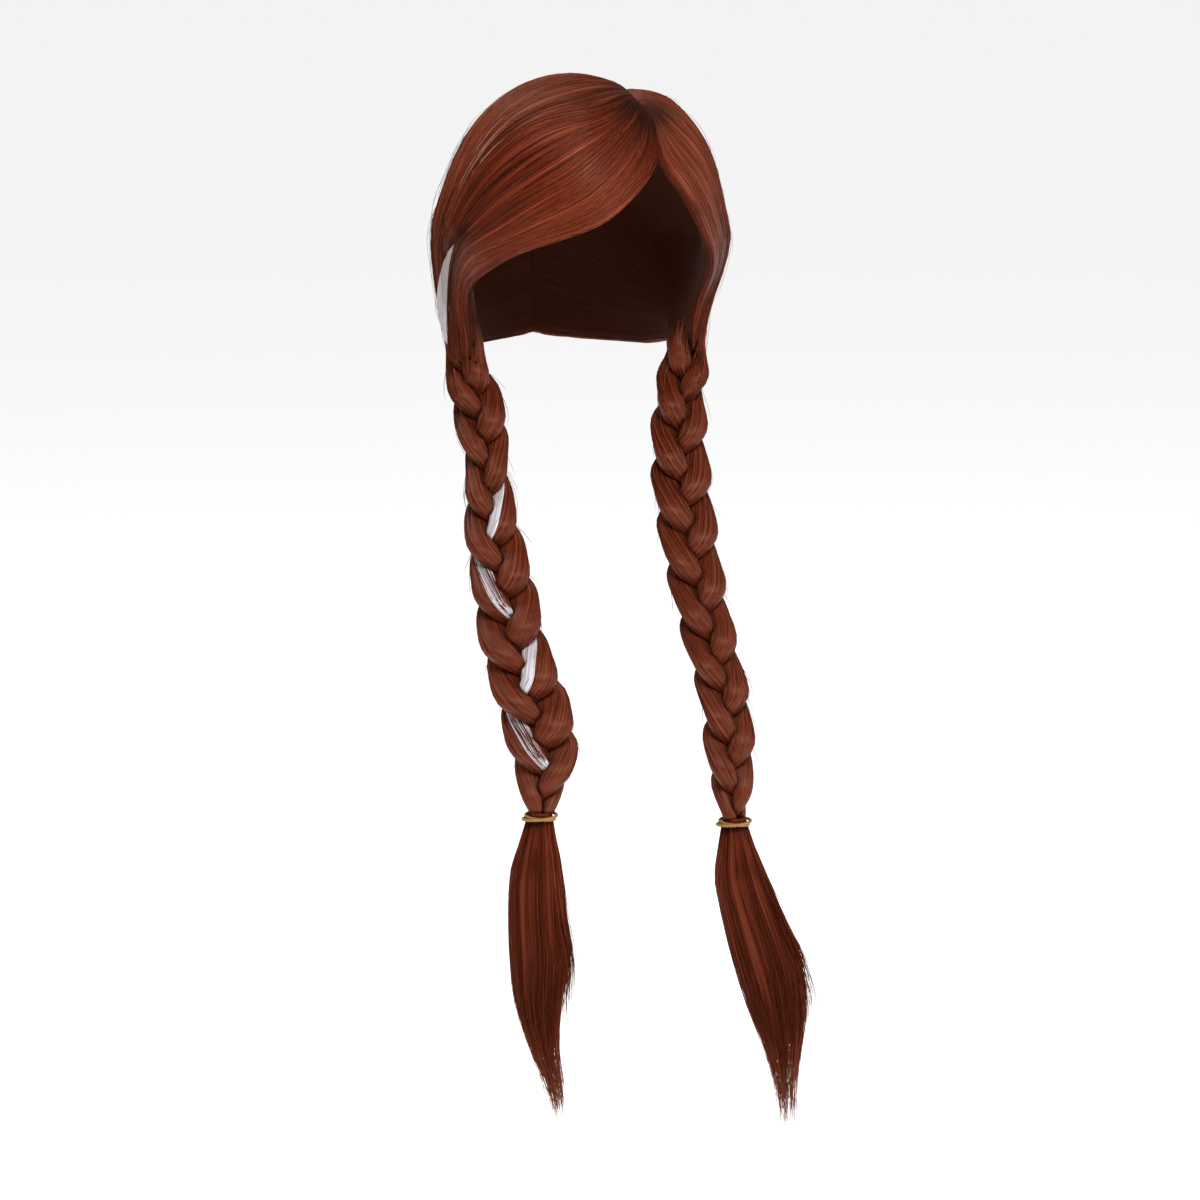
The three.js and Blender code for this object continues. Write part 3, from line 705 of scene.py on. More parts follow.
def braid_strand(braid, strand, count_v=180, count_u=44):
    """One strand from inside the gathered hair down to the band, with combed relief."""
    drop = np.linspace(-0.07, 1.0, count_v)
    f = np.arange(count_u) / count_u
    grid_drop, grid_f = np.broadcast_arrays(drop[:, None], f[None, :])
    v = grid_drop * braid["length"]
    relief = strand_relief(grid_f, v, braid["seed"] + 5 * strand)
    angle = hair_angle(braid, strand, grid_f, grid_drop)
    share = 1 - 0.85 * (1 - smooth(-0.07, 0.0, grid_drop))
    rings = strand_point(braid, strand, grid_drop, angle, share, relief + 0.25)
    # Painted shade: darker where a neighbour presses on the strand and in its grooves
    crease = strand_crease_shade(braid, strand, grid_drop, angle) - 0.4 * relief
    name = f"{braid['name']}_braid_strand_{strand + 1}_hair"
    return tube_mesh(name, rings, 2 * np.pi * 8, drop * braid["length"], crease)


def braid_fibres(braid, count, stops=8):
    """Single strands that lie on the braid's strands, and a few whose ends stand off."""
    which = rng.integers(0, 3, count)
    f = rng.random(count)[:, None]
    t = np.linspace(0, 1, stops)[None, :]
    begin = rng.uniform(-0.02, 0.9, (count, 1))
    drop = np.minimum(begin + rng.uniform(0.07, 0.16, (count, 1)) * t, 0.995)
    loose = (rng.random((count, 1)) < 0.12) * rng.uniform(1.5, 6, (count, 1))
    paths = np.zeros((count, stops, 3))
    normals = np.zeros_like(paths)
    for strand in range(3):
        own = which == strand
        angle = hair_angle(braid, strand, f[own], drop[own]) + 0.1 * np.sin(5 * t + 9 * f[own])
        relief = strand_relief(f[own] % 1, drop[own] * braid["length"], braid["seed"] + 5 * strand)
        sunk = 0.3 * near_ends(t) * (loose[own] == 0)
        lift = relief + 0.4 - sunk + loose[own] * t ** 2.5
        paths[own] = strand_point(braid, strand, drop[own], angle, 1.0, lift)
        outer = strand_point(braid, strand, drop[own], angle, 1.0, lift + 1)
        normals[own] = unit(outer - paths[own])
    radius = taper(count, stops, 0.12, 0.22)
    return strand_mesh(
        f"{braid['name']}_braid_fibres", paths, normals, radius, rng.random((count, 1))
    )


def nearest_on_braid(braid, points, drop):
    """The strand and the angle whose point at a drop is nearest to each point."""
    strand, angle = np.meshgrid(np.arange(3), np.linspace(0, 2 * np.pi, 73)[:-1], indexing="ij")
    level_drop = np.full(angle.shape[1], drop)
    ring = np.stack([strand_point(braid, s, level_drop, angle[s]) for s in range(3)])
    apart = np.linalg.norm(points[:, None, :2] - ring.reshape(1, -1, 3)[..., :2], axis=-1)
    best = apart.argmin(1)
    return strand.ravel()[best], angle.ravel()[best]


def gather_paths(hair, braid, across, layer, heights, lift):
    """Paths from the head's hair into the braid. A height is millimetres below the gather, and
    above it millimetres along the hair: up to 10 above a path lies on the head's hair, from 18
    below on its strand, and between them it is a smoothstep mix of the two."""
    u = across / (len(hair["rows"]["depth"]) - 1)
    scale = np.where(heights < 0, LINE_LENGTH, gather_column * (1 - 0.7 * u * u))
    on_head = hair_point(hair, across, 1 + heights / scale, layer, lift)
    meeting = hair_point(hair, across[:, 0], 1.0 + 0 * across[:, 0], layer)
    which, angle = nearest_on_braid(braid, meeting, 0.02)
    on_braid = np.zeros_like(on_head)
    for strand in range(3):
        own = which == strand
        drop = heights[own] / braid["length"]
        on_braid[own] = strand_point(braid, strand, drop, angle[own, None] + 0 * drop, 1, lift[own])
    return on_head + (on_braid - on_head) * smooth(-10, 18, heights)[..., None]


def gather_strands(name, hair, braid, count, lengths, thick, proud, stops, sides=3, wide=1.0,
                   layer=1):
    """Locks or single strands that close round the gather: both their ends are sunk in. The inner
    ones carry the painted shade of the inside at their tops."""
    last_row = len(hair["rows"]["depth"]) - 1
    across = rng.uniform(0.2, last_row - 0.3, (count, 1))
    t = np.linspace(0, 1, stops)[None, :]
    begin = -rng.uniform(*lengths, (count, 1))
    heights = begin + (rng.uniform(*lengths, (count, 1)) - begin) * t
    across = across + 0 * t
    lift = proud - (proud + 1.2) * near_ends(t, 0.5) + 0 * across
    paths = gather_paths(hair, braid, across, layer, heights, lift)
    normals = unit(gather_paths(hair, braid, across, layer, heights, lift + 1) - paths)
    radius = taper(count, stops, *thick, 1.0)
    tone = rng.uniform(0.25, 0.6, (count, 1))
    # Painted shade of the inside on the inner strands, fading out below the top
    under = (1 - layer) * (1 - smooth(-34, -4, heights))
    return strand_mesh(name, paths, normals, radius, tone, 0.0, under, sides, wide)


PALE_STRAND = 1
PALE_HALF_ANGLE = 0.45


def pale_middle(braid, drop):
    """The middle angle of the pale lock in its strand."""
    turn = strand_turn(braid, PALE_STRAND, drop)
    return 1.68 + 0.3 * np.sin(turn) - 0.6 * np.cos(turn)


def pale_braid_lock(braid, count_v=260, count_u=40):
    """The pale lock let into its strand: a band between two angles, round at its edges, a
    little proud of the strand outside and sunk in it inside."""
    drop = np.linspace(0.0, 0.985, count_v)[:, None]
    f = np.arange(count_u)[None, :] / count_u
    swing, bulge = np.cos(2 * np.pi * f), np.sin(2 * np.pi * f)
    angle = pale_middle(braid, drop) + 1.05 * PALE_HALF_ANGLE * swing
    ridges = -np.abs(2 * noise(10 * (f + 0 * drop), drop * 6, 91, 10) - 1) * 0.5
    lift = np.where(bulge > 0, 0.75 * np.abs(bulge) ** 0.6 + ridges, -2.5 * np.abs(bulge)) + 0.1
    lift = lift - 2.2 * (1 - smooth(0.24, 0.28, drop)) - 2.2 * smooth(0.9, 0.93, drop)
    rings = strand_point(braid, PALE_STRAND, drop + 0 * f, angle, 1.0, lift)
    # The crease mask from the ridges paints shade into the grooves between them
    return tube_mesh(
        "right_braid_pale_hair", rings, 18.0, drop[:, 0] * braid["length"], -ridges
    )


def lines_on_pale_lock(braid, spans, count, stops=8):
    """Single strands of the braid's own colour that lie on the pale lock, within spans of drop."""
    span = np.array(spans)[rng.integers(0, len(spans), count)]
    t = np.linspace(0, 1, stops)[None, :]
    begin = span[:, :1] + (span[:, 1:] - span[:, :1]) * 0.3 * rng.random((count, 1))
    end = span[:, 1:] - (span[:, 1:] - span[:, :1]) * 0.3 * rng.random((count, 1))
    drop = begin + (end - begin) * t
    side = rng.uniform(-0.9, 0.9, (count, 1)) + 0.25 * (t - 0.5) * rng.normal(0, 1, (count, 1))
    angle = pale_middle(braid, drop) + PALE_HALF_ANGLE * side
    lift = 1.15 * (1 - side ** 2 * 0.5) - 1.2 * near_ends(t, 0.3)
    paths = strand_point(braid, PALE_STRAND, drop, angle, 1.0, lift)
    normals = unit(strand_point(braid, PALE_STRAND, drop, angle, 1.0, lift + 1) - paths)
    radius = taper(count, stops, 0.16, 0.34)
    name = f"{braid['name']}_braid_lock_lines"
    return strand_mesh(name, paths, normals, radius, rng.uniform(0.3, 0.8, (count, 1)))


# The bands and tails

def neck_top(braid):
    top = braid_middle(braid, np.array(1.0))
    return np.array([top[0], top[1], -gather_drop - 2 * face_gap - braid["length"]])


def band(braid, count_v=220, count_u=12, crossing=-2.0):
    """An elastic cord that goes round twice and crosses itself in front: its radius and height
    follow the cosine and sine of half its turn. Its section has three lobes that twist."""
    turn = np.linspace(0, 4 * np.pi, count_v, endpoint=False)
    spread = band_wire + band_clear / 2
    middle = neck_radius + band_clear + spread + band_wire
    reach = middle + spread * np.cos(turn / 2)
    centre = neck_top(braid) - [0, 0, neck_height / 2]
    outward = np.stack([np.cos(turn + crossing), np.sin(turn + crossing), 0 * turn], -1)
    path = outward * reach[:, None] + centre
    path[:, 2] += band_rise * np.sin(turn / 2)
    angle = 2 * np.pi * np.arange(count_u) / count_u
    lobes = 1 + 0.16 * np.cos(3 * (angle[None, :] + 9 * turn[:, None]))
    radius = band_wire * 1.02 * lobes
    rings = (
        path[:, None]
        + (radius * np.cos(angle))[..., None] * outward[:, None]
        + (radius * np.sin(angle))[..., None] * np.array([0, 0, 1.0])
    )
    points = rings.reshape(-1, 3)
    faces, cv, cu = grid_faces(count_v + 1, count_u, closed=True)
    faces = faces % len(points)
    uv = np.stack([cu / count_u * 6, cv / count_v * 130], -1) * TO_METRES
    tone = np.broadcast_to(lobes, rings.shape[:2]).ravel()
    groups = facing_out(points, [(faces, uv)])
    return make_piece(f"{braid['name']}_band_cord", points, groups, {"tone": tone})


right_tail = {
    "length": 181.0, "sway": 9.0, "seed": 71,
    "rows": [(0, 0.36), (-0.24, 0.73), (-0.22, 0.82), (-0.05, 0.85), (-0.12, 0.66), (0.32, 0.4),
             (1.25, 0.14)],
}
left_tail = {
    "length": 185.0, "sway": 35.0, "seed": 83,
    "rows": [(0, 0.36), (0.12, 0.77), (0.37, 0.92), (0.65, 1.02), (0.84, 0.87), (0.95, 0.5),
             (1.03, 0.2)],
}


def tail_point(braid, tail, fall, turn, share):
    """A point of the tail at a fall in millimetres: its middle sways, and share of its half
    width lies that far out at a turn, on an ellipse that starts round at the neck."""
    across, out = braid_axes(braid)
    hang = np.clip((fall - neck_height) / (tail["length"] - neck_height), 0, 1)
    row = through(tail["rows"], hang)
    half = np.where(hang > 0, np.maximum(tail_half_width * row[..., 1], tip_half_width), neck_radius)
    half = np.where(fall < neck_height + 6, np.maximum(half, neck_radius), half)
    flat = 1 + (tail_flatness - 1) * smooth(0, 0.16, hang)
    x = tail["sway"] * row[..., 0] + half * share * np.cos(turn)
    y = half * flat * share * np.sin(turn)
    return (
        neck_top(braid)
        + x[..., None] * across
        + y[..., None] * out
        - fall[..., None] * np.array([0, 0, 1.0])
    )


def tail_lock(braid, tail, lock, count_v=50, count_u=18):
    """A tapered lock: a round section whose middle lies at a share of the tail's half width,
    and which thins out towards its end."""
    turn, share, size, reach = lock
    ends = tail["length"] * reach
    fall = ends * np.linspace(0, 1, count_v)[:, None] ** 1.15
    f = np.arange(count_u)[None, :] / count_u
    thin = np.sqrt(np.maximum(1 - (fall / ends) ** 3, 0.002))
    relief = 0.5 * strand_relief(f + 0 * fall, fall + 0 * f, tail["seed"] + int(97 * turn))
    own = size * thin * (1 + 0.1 * relief)
    x = share * np.cos(turn) + own * np.cos(2 * np.pi * f)
    y = share * np.sin(turn) + own * np.sin(2 * np.pi * f)
    rings = tail_point(braid, tail, fall + 0 * f, np.arctan2(y, x), np.hypot(x, y))
    return rings, fall[:, 0], relief


def tail_body(braid, tail, locks):
    """The tail's locks as one mesh of closed tubes."""
    points, groups, valley = [], [], []
    for lock in locks:
        rings, fall, relief = tail_lock(braid, tail, lock)
        own, faces = tube(rings, 120 * lock[2], fall, 50 * lock[0])
        start = len(own) * len(points)
        groups += [(f + start, corner) for f, corner in faces]
        points.append(own)
        # Painted shade in each lock's grooves through the crease mask
        valley.append(-relief.ravel())
    values = {"root": 0.0, "valley": np.concatenate(valley), "under": 0.0, "tone": 0.41}
    return make_piece(f"{braid['name']}_tail_hair", np.concatenate(points), groups, values)


def tail_fibres(braid, tail, count, stops=10):
    """Single strands down the tail. Some on its inner side end sooner and stand off in wisps by
    some millimetres times t^3, and the rest reach past the locks and spread to a ragged tip."""
    turn = rng.vonmises(0, 0.45, count)[:, None]
    share = 1.04 * rng.random((count, 1)) ** 0.28
    wisp = smooth(0.0, 0.8, np.cos(turn)) * (rng.random((count, 1)) < 0.6)
    reach = 1.085 - 0.36 * rng.random((count, 1)) ** 0.8
    reach = reach + wisp * (rng.uniform(0.46, 0.76, (count, 1)) - reach)
    t = np.linspace(0, 1, stops)[None, :]
    fall = tail["length"] * reach * (0.012 + 0.988 * t)
    bend = rng.normal(0, 0.12, (count, 1)) * t ** 2
    paths = tail_point(braid, tail, fall, turn + bend, share)
    normals = unit(tail_point(braid, tail, fall, turn + bend, share + 0.1) - paths)
    across, out = braid_axes(braid)
    away = np.cos(turn)[..., None] * across + 0.6 * np.sin(turn)[..., None] * out
    stand_off = (1.0 + 8 * wisp) * rng.random((count, 1)) ** 1.2 * share ** 2
    paths = paths + away * (stand_off * t ** 3)[..., None]
    ragged = smooth(0.72, 1.02, reach * t) * t ** 2
    paths = paths + across * (rng.normal(0, 1.3, (count, 1)) * ragged)[..., None]
    paths = paths + out * (rng.normal(0, 1.0, (count, 1)) * ragged)[..., None]
    shape = (1 - 0.6 * t ** 5) * np.clip(t * 12, 0.4, 1)
    radius = rng.uniform(0.13, 0.26, (count, 1)) * shape
    tone = rng.uniform(0.05, 0.7, (count, 1)) + 0.5 * smooth(0.65, 1, reach * t)
    return strand_mesh(f"{braid['name']}_tail_fibres", paths, normals, radius, tone)


# Materials

def new_material(name):
    """A material, its node tree and its plain shader."""
    material = bpy.data.materials.new(name)
    material.use_nodes = True
    return material, material.node_tree, material.node_tree.nodes["Principled BSDF"]


def fill(tree, node, inputs):
    """Links each output given to its input, or sets the input's own value."""
    for slot, value in inputs.items():
        if isinstance(value, bpy.types.NodeSocket):
            tree.links.new(value, node.inputs[slot])
        else:
            node.inputs[slot].default_value = value


def add_node(tree, kind, inputs=None, **settings):
    """A shader node with its settings and inputs."""
    node = tree.nodes.new("ShaderNode" + kind)
    for key, value in settings.items():
        setattr(node, key, value)
    fill(tree, node, inputs or {})
    return node


def streak_node(tree, flow, scale, detail, seed):
    """Noise over the flow map, stretched along the hair by its scale across and along."""
    stretch = add_node(tree, "VectorMath", {0: flow, 1: (*scale, 1)}, operation="MULTIPLY")
    inputs = {"Vector": stretch.outputs[0], "W": seed, "Scale": 1.0, "Detail": detail}
    return add_node(tree, "TexNoise", inputs, noise_dimensions="4D").outputs["Fac"]


def math_node(tree, operation, a, b, clamp=False):
    return add_node(tree, "Math", {0: a, 1: b}, operation=operation, use_clamp=clamp).outputs[0]


def mix_node(tree, factor, a, b):
    return add_node(tree, "Mix", {"Factor": factor, 6: a, 7: b}, data_type="RGBA").outputs[2]


def combed_hair_group():
    """Fibres along the flow map. It mixes three colours by streaks of three widths and by the tone,
    which carries painted light and shade, paints shade into the creases and the inside, darkens the
    roots, and gives a height for fine grooves."""
    tree = bpy.data.node_groups.new("combed_hair", "ShaderNodeTree")
    ways = [("INPUT", name, "Color", None) for name in AUBURN]
    ways += [("INPUT", name, "Float", value) for name, value in INPUT_VALUES.items()]
    ways += [("INPUT", "Flow", "Vector", None), ("OUTPUT", "Colour", "Color", None),
             ("OUTPUT", "Roughness", "Float", None), ("OUTPUT", "Height", "Float", None)]
    for way, name, kind, value in ways:
        made = tree.interface.new_socket(name=name, in_out=way, socket_type="NodeSocket" + kind)
        if value is not None:
            made.default_value = value
    get = tree.nodes.new("NodeGroupInput").outputs
    calc = lambda *values: math_node(tree, *values)
    fine = streak_node(tree, get["Flow"], (2300, 12), 2, 3)
    thin = streak_node(tree, get["Flow"], (1050, 7), 2, 11)
    lock = streak_node(tree, get["Flow"], (230, 6), 1, 23)
    blend = calc("ADD", calc("MULTIPLY", fine, 0.36), calc("MULTIPLY", thin, 0.54))
    blend = calc("ADD", blend, calc("MULTIPLY", lock, 0.1))
    blend = calc("MULTIPLY", calc("SUBTRACT", blend, 0.5), 4.4)
    blend = calc("MULTIPLY", blend, get["Contrast"])
    # The tone, painted light and shade with random patches, lightens or darkens the streaks
    toned = calc("ADD", blend, calc("MULTIPLY", calc("SUBTRACT", get["Tone"], 0.5), 0.9))
    shade = calc("ADD", toned, 0.5, True)
    low = calc("MULTIPLY", shade, 2.0, True)
    high = calc("MULTIPLY", calc("SUBTRACT", shade, 0.5), 2.0, True)
    colour = mix_node(tree, low, get["Deep"], get["Middle"])
    colour = mix_node(tree, high, colour, get["Bright"])
    # Painted shade: the crease mask mixes the colour towards the deep colour
    crease = calc("MULTIPLY", calc("SUBTRACT", get["Crease Shade"], 0.25), 0.9, True)
    colour = mix_node(tree, crease, colour, get["Deep"])
    root = calc("MULTIPLY", get["Root"], calc("ADD", 0.55, calc("MULTIPLY", thin, 0.6)), True)
    colour = mix_node(tree, root, colour, get["Root Colour"])
    # Painted shade: the inside mixes towards its own dark colour, broken by streaks
    streaked = calc("SUBTRACT", 1.15, calc("MULTIPLY", thin, 0.6))
    inside = calc("MULTIPLY", get["Shade Beneath"], streaked, True)
    colour = mix_node(tree, inside, colour, get["Shade Beneath Colour"])
    rough = calc("ADD", 0.3, calc("MULTIPLY", thin, 0.36))
    dull = calc("MULTIPLY", calc("MAXIMUM", get["Shade Beneath"], get["Root"]), 0.35)
    height = calc("ADD", calc("MULTIPLY", fine, 0.5), calc("MULTIPLY", thin, 0.5))
    leave = tree.nodes.new("NodeGroupOutput")
    fill(tree, leave, {"Colour": colour, "Roughness": calc("ADD", rough, dull), "Height": height})
    return tree


def hair_material(name, colours, contrast=1.0, shine=0.24, bump=0.8, gloss=(1.0, 0.62, 0.45)):
    """A glossy fibre finish: the group's colour, roughness and grooves, with a highlight that
    spreads across the fibres."""
    material, tree, shader = new_material(name)
    inputs = {slot: (*colour, 1) for slot, colour in colours.items()}
    inputs["Contrast"] = contrast
    inputs["Flow"] = add_node(tree, "UVMap", uv_map="flow").outputs["UV"]
    for key, slot in (("tone", "Tone"), ("valley", "Crease Shade"), ("root", "Root"), ("under", "Shade Beneath")):
        inputs[slot] = add_node(tree, "Attribute", attribute_name=key).outputs["Fac"]
    look = add_node(tree, "Group", inputs, node_tree=combed_hair).outputs
    groove = add_node(tree, "Bump", {
        "Strength": bump, "Distance": 0.00025, "Height": look["Height"]
    })
    tangent = add_node(tree, "Tangent", direction_type="UV_MAP", uv_map="flow")
    fill(tree, shader, {
        "Base Color": look["Colour"], "Roughness": look["Roughness"],
        "Normal": groove.outputs["Normal"], "Tangent": tangent.outputs["Tangent"],
        "Anisotropic": 0.6, "Specular IOR Level": shine, "Specular Tint": (*gloss, 1),
    })
    return material


def elastic_material():
    """Ochre elastic: woven threads from a wave round the cord, and a soft dull surface."""
    material, tree, shader = new_material("ochre_elastic")
    flow = add_node(tree, "UVMap", uv_map="flow").outputs["UV"]
    threads = add_node(tree, "TexWave", {"Scale": 520, "Distortion": 1.5, "Vector": flow},
                       wave_type="BANDS", bands_direction="DIAGONAL").outputs["Fac"]
    grain = add_node(tree, "TexNoise", {"Scale": 900, "Vector": flow}).outputs["Fac"]
    blend = math_node(tree, "MULTIPLY", math_node(tree, "MULTIPLY", threads, grain), 1.5, True)
    colour = mix_node(tree, blend, (0.14, 0.065, 0.008, 1), (0.56, 0.31, 0.07, 1))
    groove = add_node(tree, "Bump", {"Strength": 0.5, "Distance": 0.0003, "Height": threads})
    normal = groove.outputs["Normal"]
    fill(tree, shader, {"Base Color": colour, "Normal": normal, "Roughness": 0.62})
    return material


AUBURN = {
    "Deep": (0.020, 0.0024, 0.0008),
    "Middle": (0.112, 0.0160, 0.0050),
    "Bright": (0.250, 0.062, 0.028),
    "Root Colour": (0.010, 0.0022, 0.0012),
    # The dark colour of the painted shade inside the hair
    "Shade Beneath Colour": (0.022, 0.0036, 0.0014),
}
FRINGE = {**AUBURN, "Middle": (0.146, 0.0178, 0.0048), "Bright": (0.310, 0.064, 0.024)}
PLAIT = {
    **AUBURN,
    "Deep": (0.028, 0.0030, 0.0008),
    "Middle": (0.088, 0.0130, 0.0042),
    "Bright": (0.190, 0.046, 0.021),
}
TAIL = {**PLAIT, "Middle": (0.104, 0.0160, 0.0056), "Bright": (0.270, 0.066, 0.032)}
PALE = {
    "Deep": (0.20, 0.16, 0.16),
    "Middle": (0.46, 0.43, 0.45),
    "Bright": (0.76, 0.75, 0.79),
    "Root Colour": (0.2, 0.15, 0.14),
    "Shade Beneath Colour": (0.3, 0.25, 0.25),
}
ROSE = {**AUBURN, "Deep": (0.18, 0.07, 0.045), "Middle": (0.33, 0.16, 0.12),
        "Bright": (0.50, 0.29, 0.24)}
INPUT_VALUES = {"Tone": 0.5, "Crease Shade": 0.3, "Root": 0.0, "Shade Beneath": 0.0, "Contrast": 1.0}
combed_hair = combed_hair_group()
auburn = hair_material("auburn_hair", AUBURN)
plaited = hair_material("auburn_plait", PLAIT, contrast=0.9, shine=0.26, bump=1.0)
loose_hair = hair_material("auburn_tail", TAIL, contrast=0.45, shine=0.14)
tail_ends = hair_material("auburn_tail_fibres", TAIL, contrast=0.5, shine=0.09)
fringe_auburn = hair_material("auburn_fringe", FRINGE)
pale = hair_material("pale_hair", PALE, shine=0.5, gloss=(1, 1, 1))
rose = hair_material("rose_hair", ROSE)
elastic = elastic_material()


# The pieces

def fringe_rise(along):
    return fringe_proud * smooth(0.1, 0.4, along) * (1 - smooth(0.8, 1, along))


def pale_rise(along):
    return 0.8 + pale_lock_proud * smooth(0.7, 0.8, along) * (1 - smooth(0.86, 1, along))


PALE_LOCK_START = 0.735
PALE_LOCK_SHAPE = [0.02, 0.3, 0.66, 0.68, 0.38, 0.06]
PALE_LOCK_LEAN = [-0.52, -0.56, -0.38, 0.22, 0.9, 1.3]


def pale_front(along):
    """The pale lock's front edge: along the fringe's seam, with its top leaning forwards and
    its lower end back."""
    t = (along - PALE_LOCK_START) / (1 - PALE_LOCK_START)
    return FRINGE_SEAM + through(PALE_LOCK_LEAN, t)


def pale_back(along):
    """The pale lock's back edge: its width is read from its shape and turned into rows."""
    t = (along - PALE_LOCK_START) / (1 - PALE_LOCK_START)
    wide = pale_lock_width * through(PALE_LOCK_SHAPE, t)
    return pale_front(along) + rows_for(right_hair, pale_front(along), along, wide)


def steady(value):
    return lambda along: value + 0 * along


def make_head():
    fringe = hair_section("fringe_hair", right_hair, steady(0), steady(FRINGE_SEAM + 0.06), (100, 37),
                          proud=fringe_rise)
    dress(fringe, fringe_auburn, "fringe")
    right = hair_section("crown_right_hair", right_hair, steady(FRINGE_SEAM - 0.05), steady(7),
                         (96, 52))
    dress(right, auburn, "crown_right")
    left = hair_section("crown_left_hair", left_hair, steady(0), steady(6), (96, 52))
    dress(left, auburn, "crown_left")
    lock = hair_section("pale_lock_hair", right_hair, pale_front, pale_back, (70, 9),
                        start=PALE_LOCK_START, proud=pale_rise, inside=0.6)
    dress(lock, pale, "pale_lock", slot="pale_hair")


def make_head_strands():
    runs = (
        ("fringe_strands", right_hair, 900, (0.02, 2.0), (0, 0.5), (0.25, 0.5), fringe_rise, 0.5,
         fringe_auburn, "auburn_hair"),
        ("crown_right_strands", right_hair, 1100, (2.0, 6.95), (0, 0.6), (0.25, 0.5), level, 0.5,
         auburn, "auburn_hair"),
        ("crown_left_strands", left_hair, 1000, (0.02, 5.95), (0, 0.6), (0.25, 0.5), level, 0.5,
         auburn, "auburn_hair"),
        ("crown_pale_strands", right_hair, 16, (2.05, 2.5), (0.38, 0.48), (0.15, 0.3), level, 0.3,
         rose, "pale_hair"),
    )
    for *how, material, slot in runs:
        dress(head_strands(*how), material, slot=slot)
    dress(lock_lines("lock_border_strands", right_hair, 120), auburn)
    for hair, side, sides in ((right_hair, "right", (0.2, 6.9)), (left_hair, "left", (0.1, 5.9))):
        dress(stray_strands(f"{side}_stray_strands", hair, 170, sides, (0.15, 0.85), 3.4), auburn)
        last_row = len(hair["rows"]["depth"]) - 1
        for edge, place, material in ((0, "front", fringe_auburn), (last_row, "nape", auburn)):
            dress(edge_strands(f"{side}_{place}_edge_strands", hair, edge, 170), material)


def make_gathers():
    runs = (
        ("locks", 60, (14, 56), (0.35, 0.6), 0.0, 18, 6, 2.4, 1, auburn),
        ("fibres", 300, (14, 64), (0.12, 0.2), 0.8, 12, 3, 1.0, 1, auburn),
        ("inner_locks", 46, (12, 34), (0.4, 0.7), 0.3, 14, 6, 2.6, 0, plaited),
        ("inner_fibres", 170, (12, 40), (0.12, 0.2), 0.9, 10, 3, 1.0, 0, plaited),
    )
    for hair, braid in ((right_hair, right_braid), (left_hair, left_braid)):
        for kind, *how, material in runs:
            name = f"{braid['name']}_gather_{kind}"
            dress(gather_strands(name, hair, braid, *how), material)


def make_braids():
    for braid, pale_side in ((right_braid, True), (left_braid, False)):
        for strand in range(3):
            node = f"{braid['name']}_braid_strand_{strand + 1}"
            dress(braid_strand(braid, strand), plaited, node)
        if pale_side:
            dress(pale_braid_lock(braid), pale, "right_braid_pale_lock", slot="pale_hair")
            lines = lines_on_pale_lock(braid, [(0.43, 0.6), (0.76, 0.93)], 44)
            dress(lines, plaited)
        dress(braid_fibres(braid, 1100), plaited)


TAIL_LOCKS = [
    (0.50, 0.48, 0.54, 0.77), (1.70, 0.48, 0.54, 0.86), (2.95, 0.48, 0.54, 0.85),
    (4.15, 0.48, 0.54, 0.88), (5.40, 0.48, 0.54, 0.79), (0.00, 0.72, 0.30, 0.62),
    (1.05, 0.72, 0.32, 0.76), (2.10, 0.74, 0.30, 0.84), (3.14, 0.72, 0.32, 0.82),
    (4.60, 0.74, 0.30, 0.83), (5.30, 0.72, 0.32, 0.69), (3.80, 0.70, 0.34, 0.85),
]


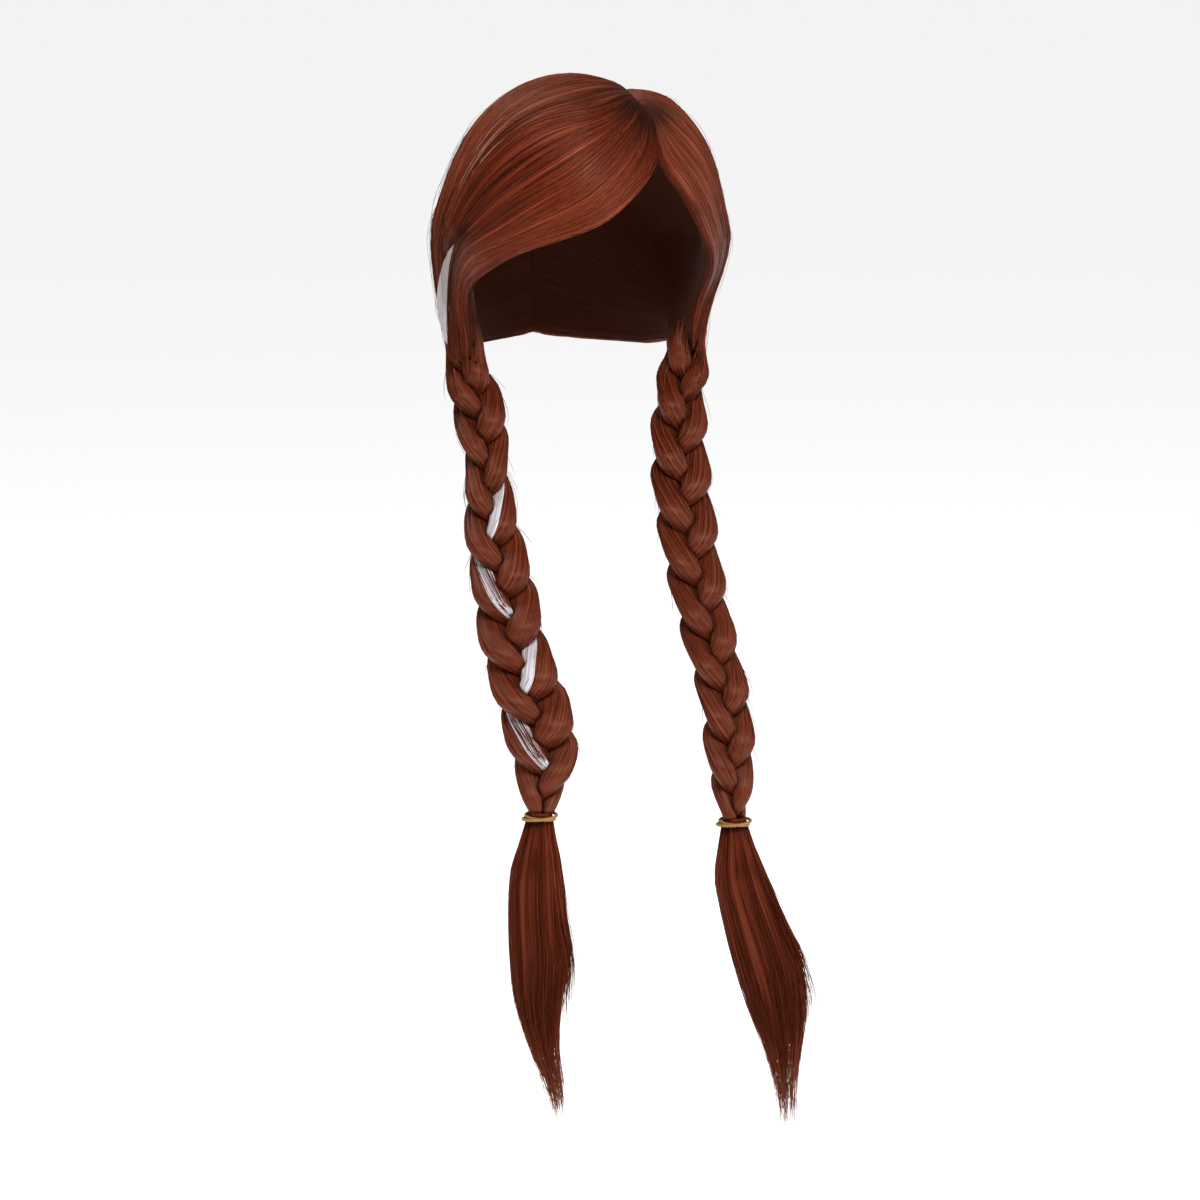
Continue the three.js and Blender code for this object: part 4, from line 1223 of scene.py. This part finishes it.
def make_tails():
    for braid, tail in ((right_braid, right_tail), (left_braid, left_tail)):
        dress(band(braid), elastic, f"{braid['name']}_band", slot="elastic")
        dress(tail_body(braid, tail, TAIL_LOCKS), loose_hair, f"{braid['name']}_tail")
        dress(tail_fibres(braid, tail, 1400), tail_ends)


make_head()
make_head_strands()
make_gathers()
make_braids()
make_tails()


# The floor, the camera and the lights

def make_floor():
    """A large white floor below the hanging tails."""
    size, drop = 60000, 668
    corners = [[x * size, y * size, -drop] for x, y in ((-1, -1), (1, -1), (1, 1), (-1, 1))]
    mesh = bpy.data.meshes.new("floor")
    mesh.from_pydata((np.array(corners) * TO_METRES).tolist(), [], [(0, 1, 2, 3)])
    floor = add_object("floor", mesh)
    material, tree, shader = new_material("white_floor")
    fill(tree, shader, {
        "Base Color": (0.9, 0.9, 0.9, 1), "Roughness": 0.8,
        "Emission Color": (1, 1, 1, 1), "Emission Strength": 0.66,
    })
    mesh.materials.append(material)
    floor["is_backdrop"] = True


def aim(thing, place, target):
    thing.location = place
    thing.rotation_euler = (Vector(target) - Vector(place)).to_track_quat("-Z", "Y").to_euler()


def make_light(name, place, target, size, power):
    light = bpy.data.lights.new(name, "AREA")
    light.shape, light.size, light.energy = "SQUARE", size, power
    aim(add_object(name, light), place, target)


def make_view():
    camera = bpy.data.cameras.new("camera")
    camera.sensor_width = 36
    camera.lens = 140.625
    camera.clip_end = 200
    thing = add_object("camera", camera)
    aim(thing, (-0.9036, -2.8258, 0.1193), (0.01325, -0.00402, -0.32415))
    bpy.context.scene.camera = thing


def make_lights():
    middle = (0, 0, -0.25)
    make_light("key_light", (-0.2, -1.9, 1.7), middle, 0.9, 62)
    make_light("fill_light", (1.9, -1.2, 0.3), middle, 1.2, 16)
    make_light("crown_light", (-0.7, 0.5, 1.5), (0, 0, -0.1), 0.8, 14)
    world = bpy.data.worlds.new("studio")
    world.use_nodes = True
    world.node_tree.nodes["Background"].inputs["Color"].default_value = (1, 1, 1, 1)
    world.node_tree.nodes["Background"].inputs["Strength"].default_value = 0.26
    bpy.context.scene.world = world
    bpy.context.scene.view_settings.view_transform = "Standard"


make_floor()
make_view()
make_lights()

size = {"cad": cad_box, "visual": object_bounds()}
{k: [list(map(float, corner)) for corner in box] for k, box in size.items()}
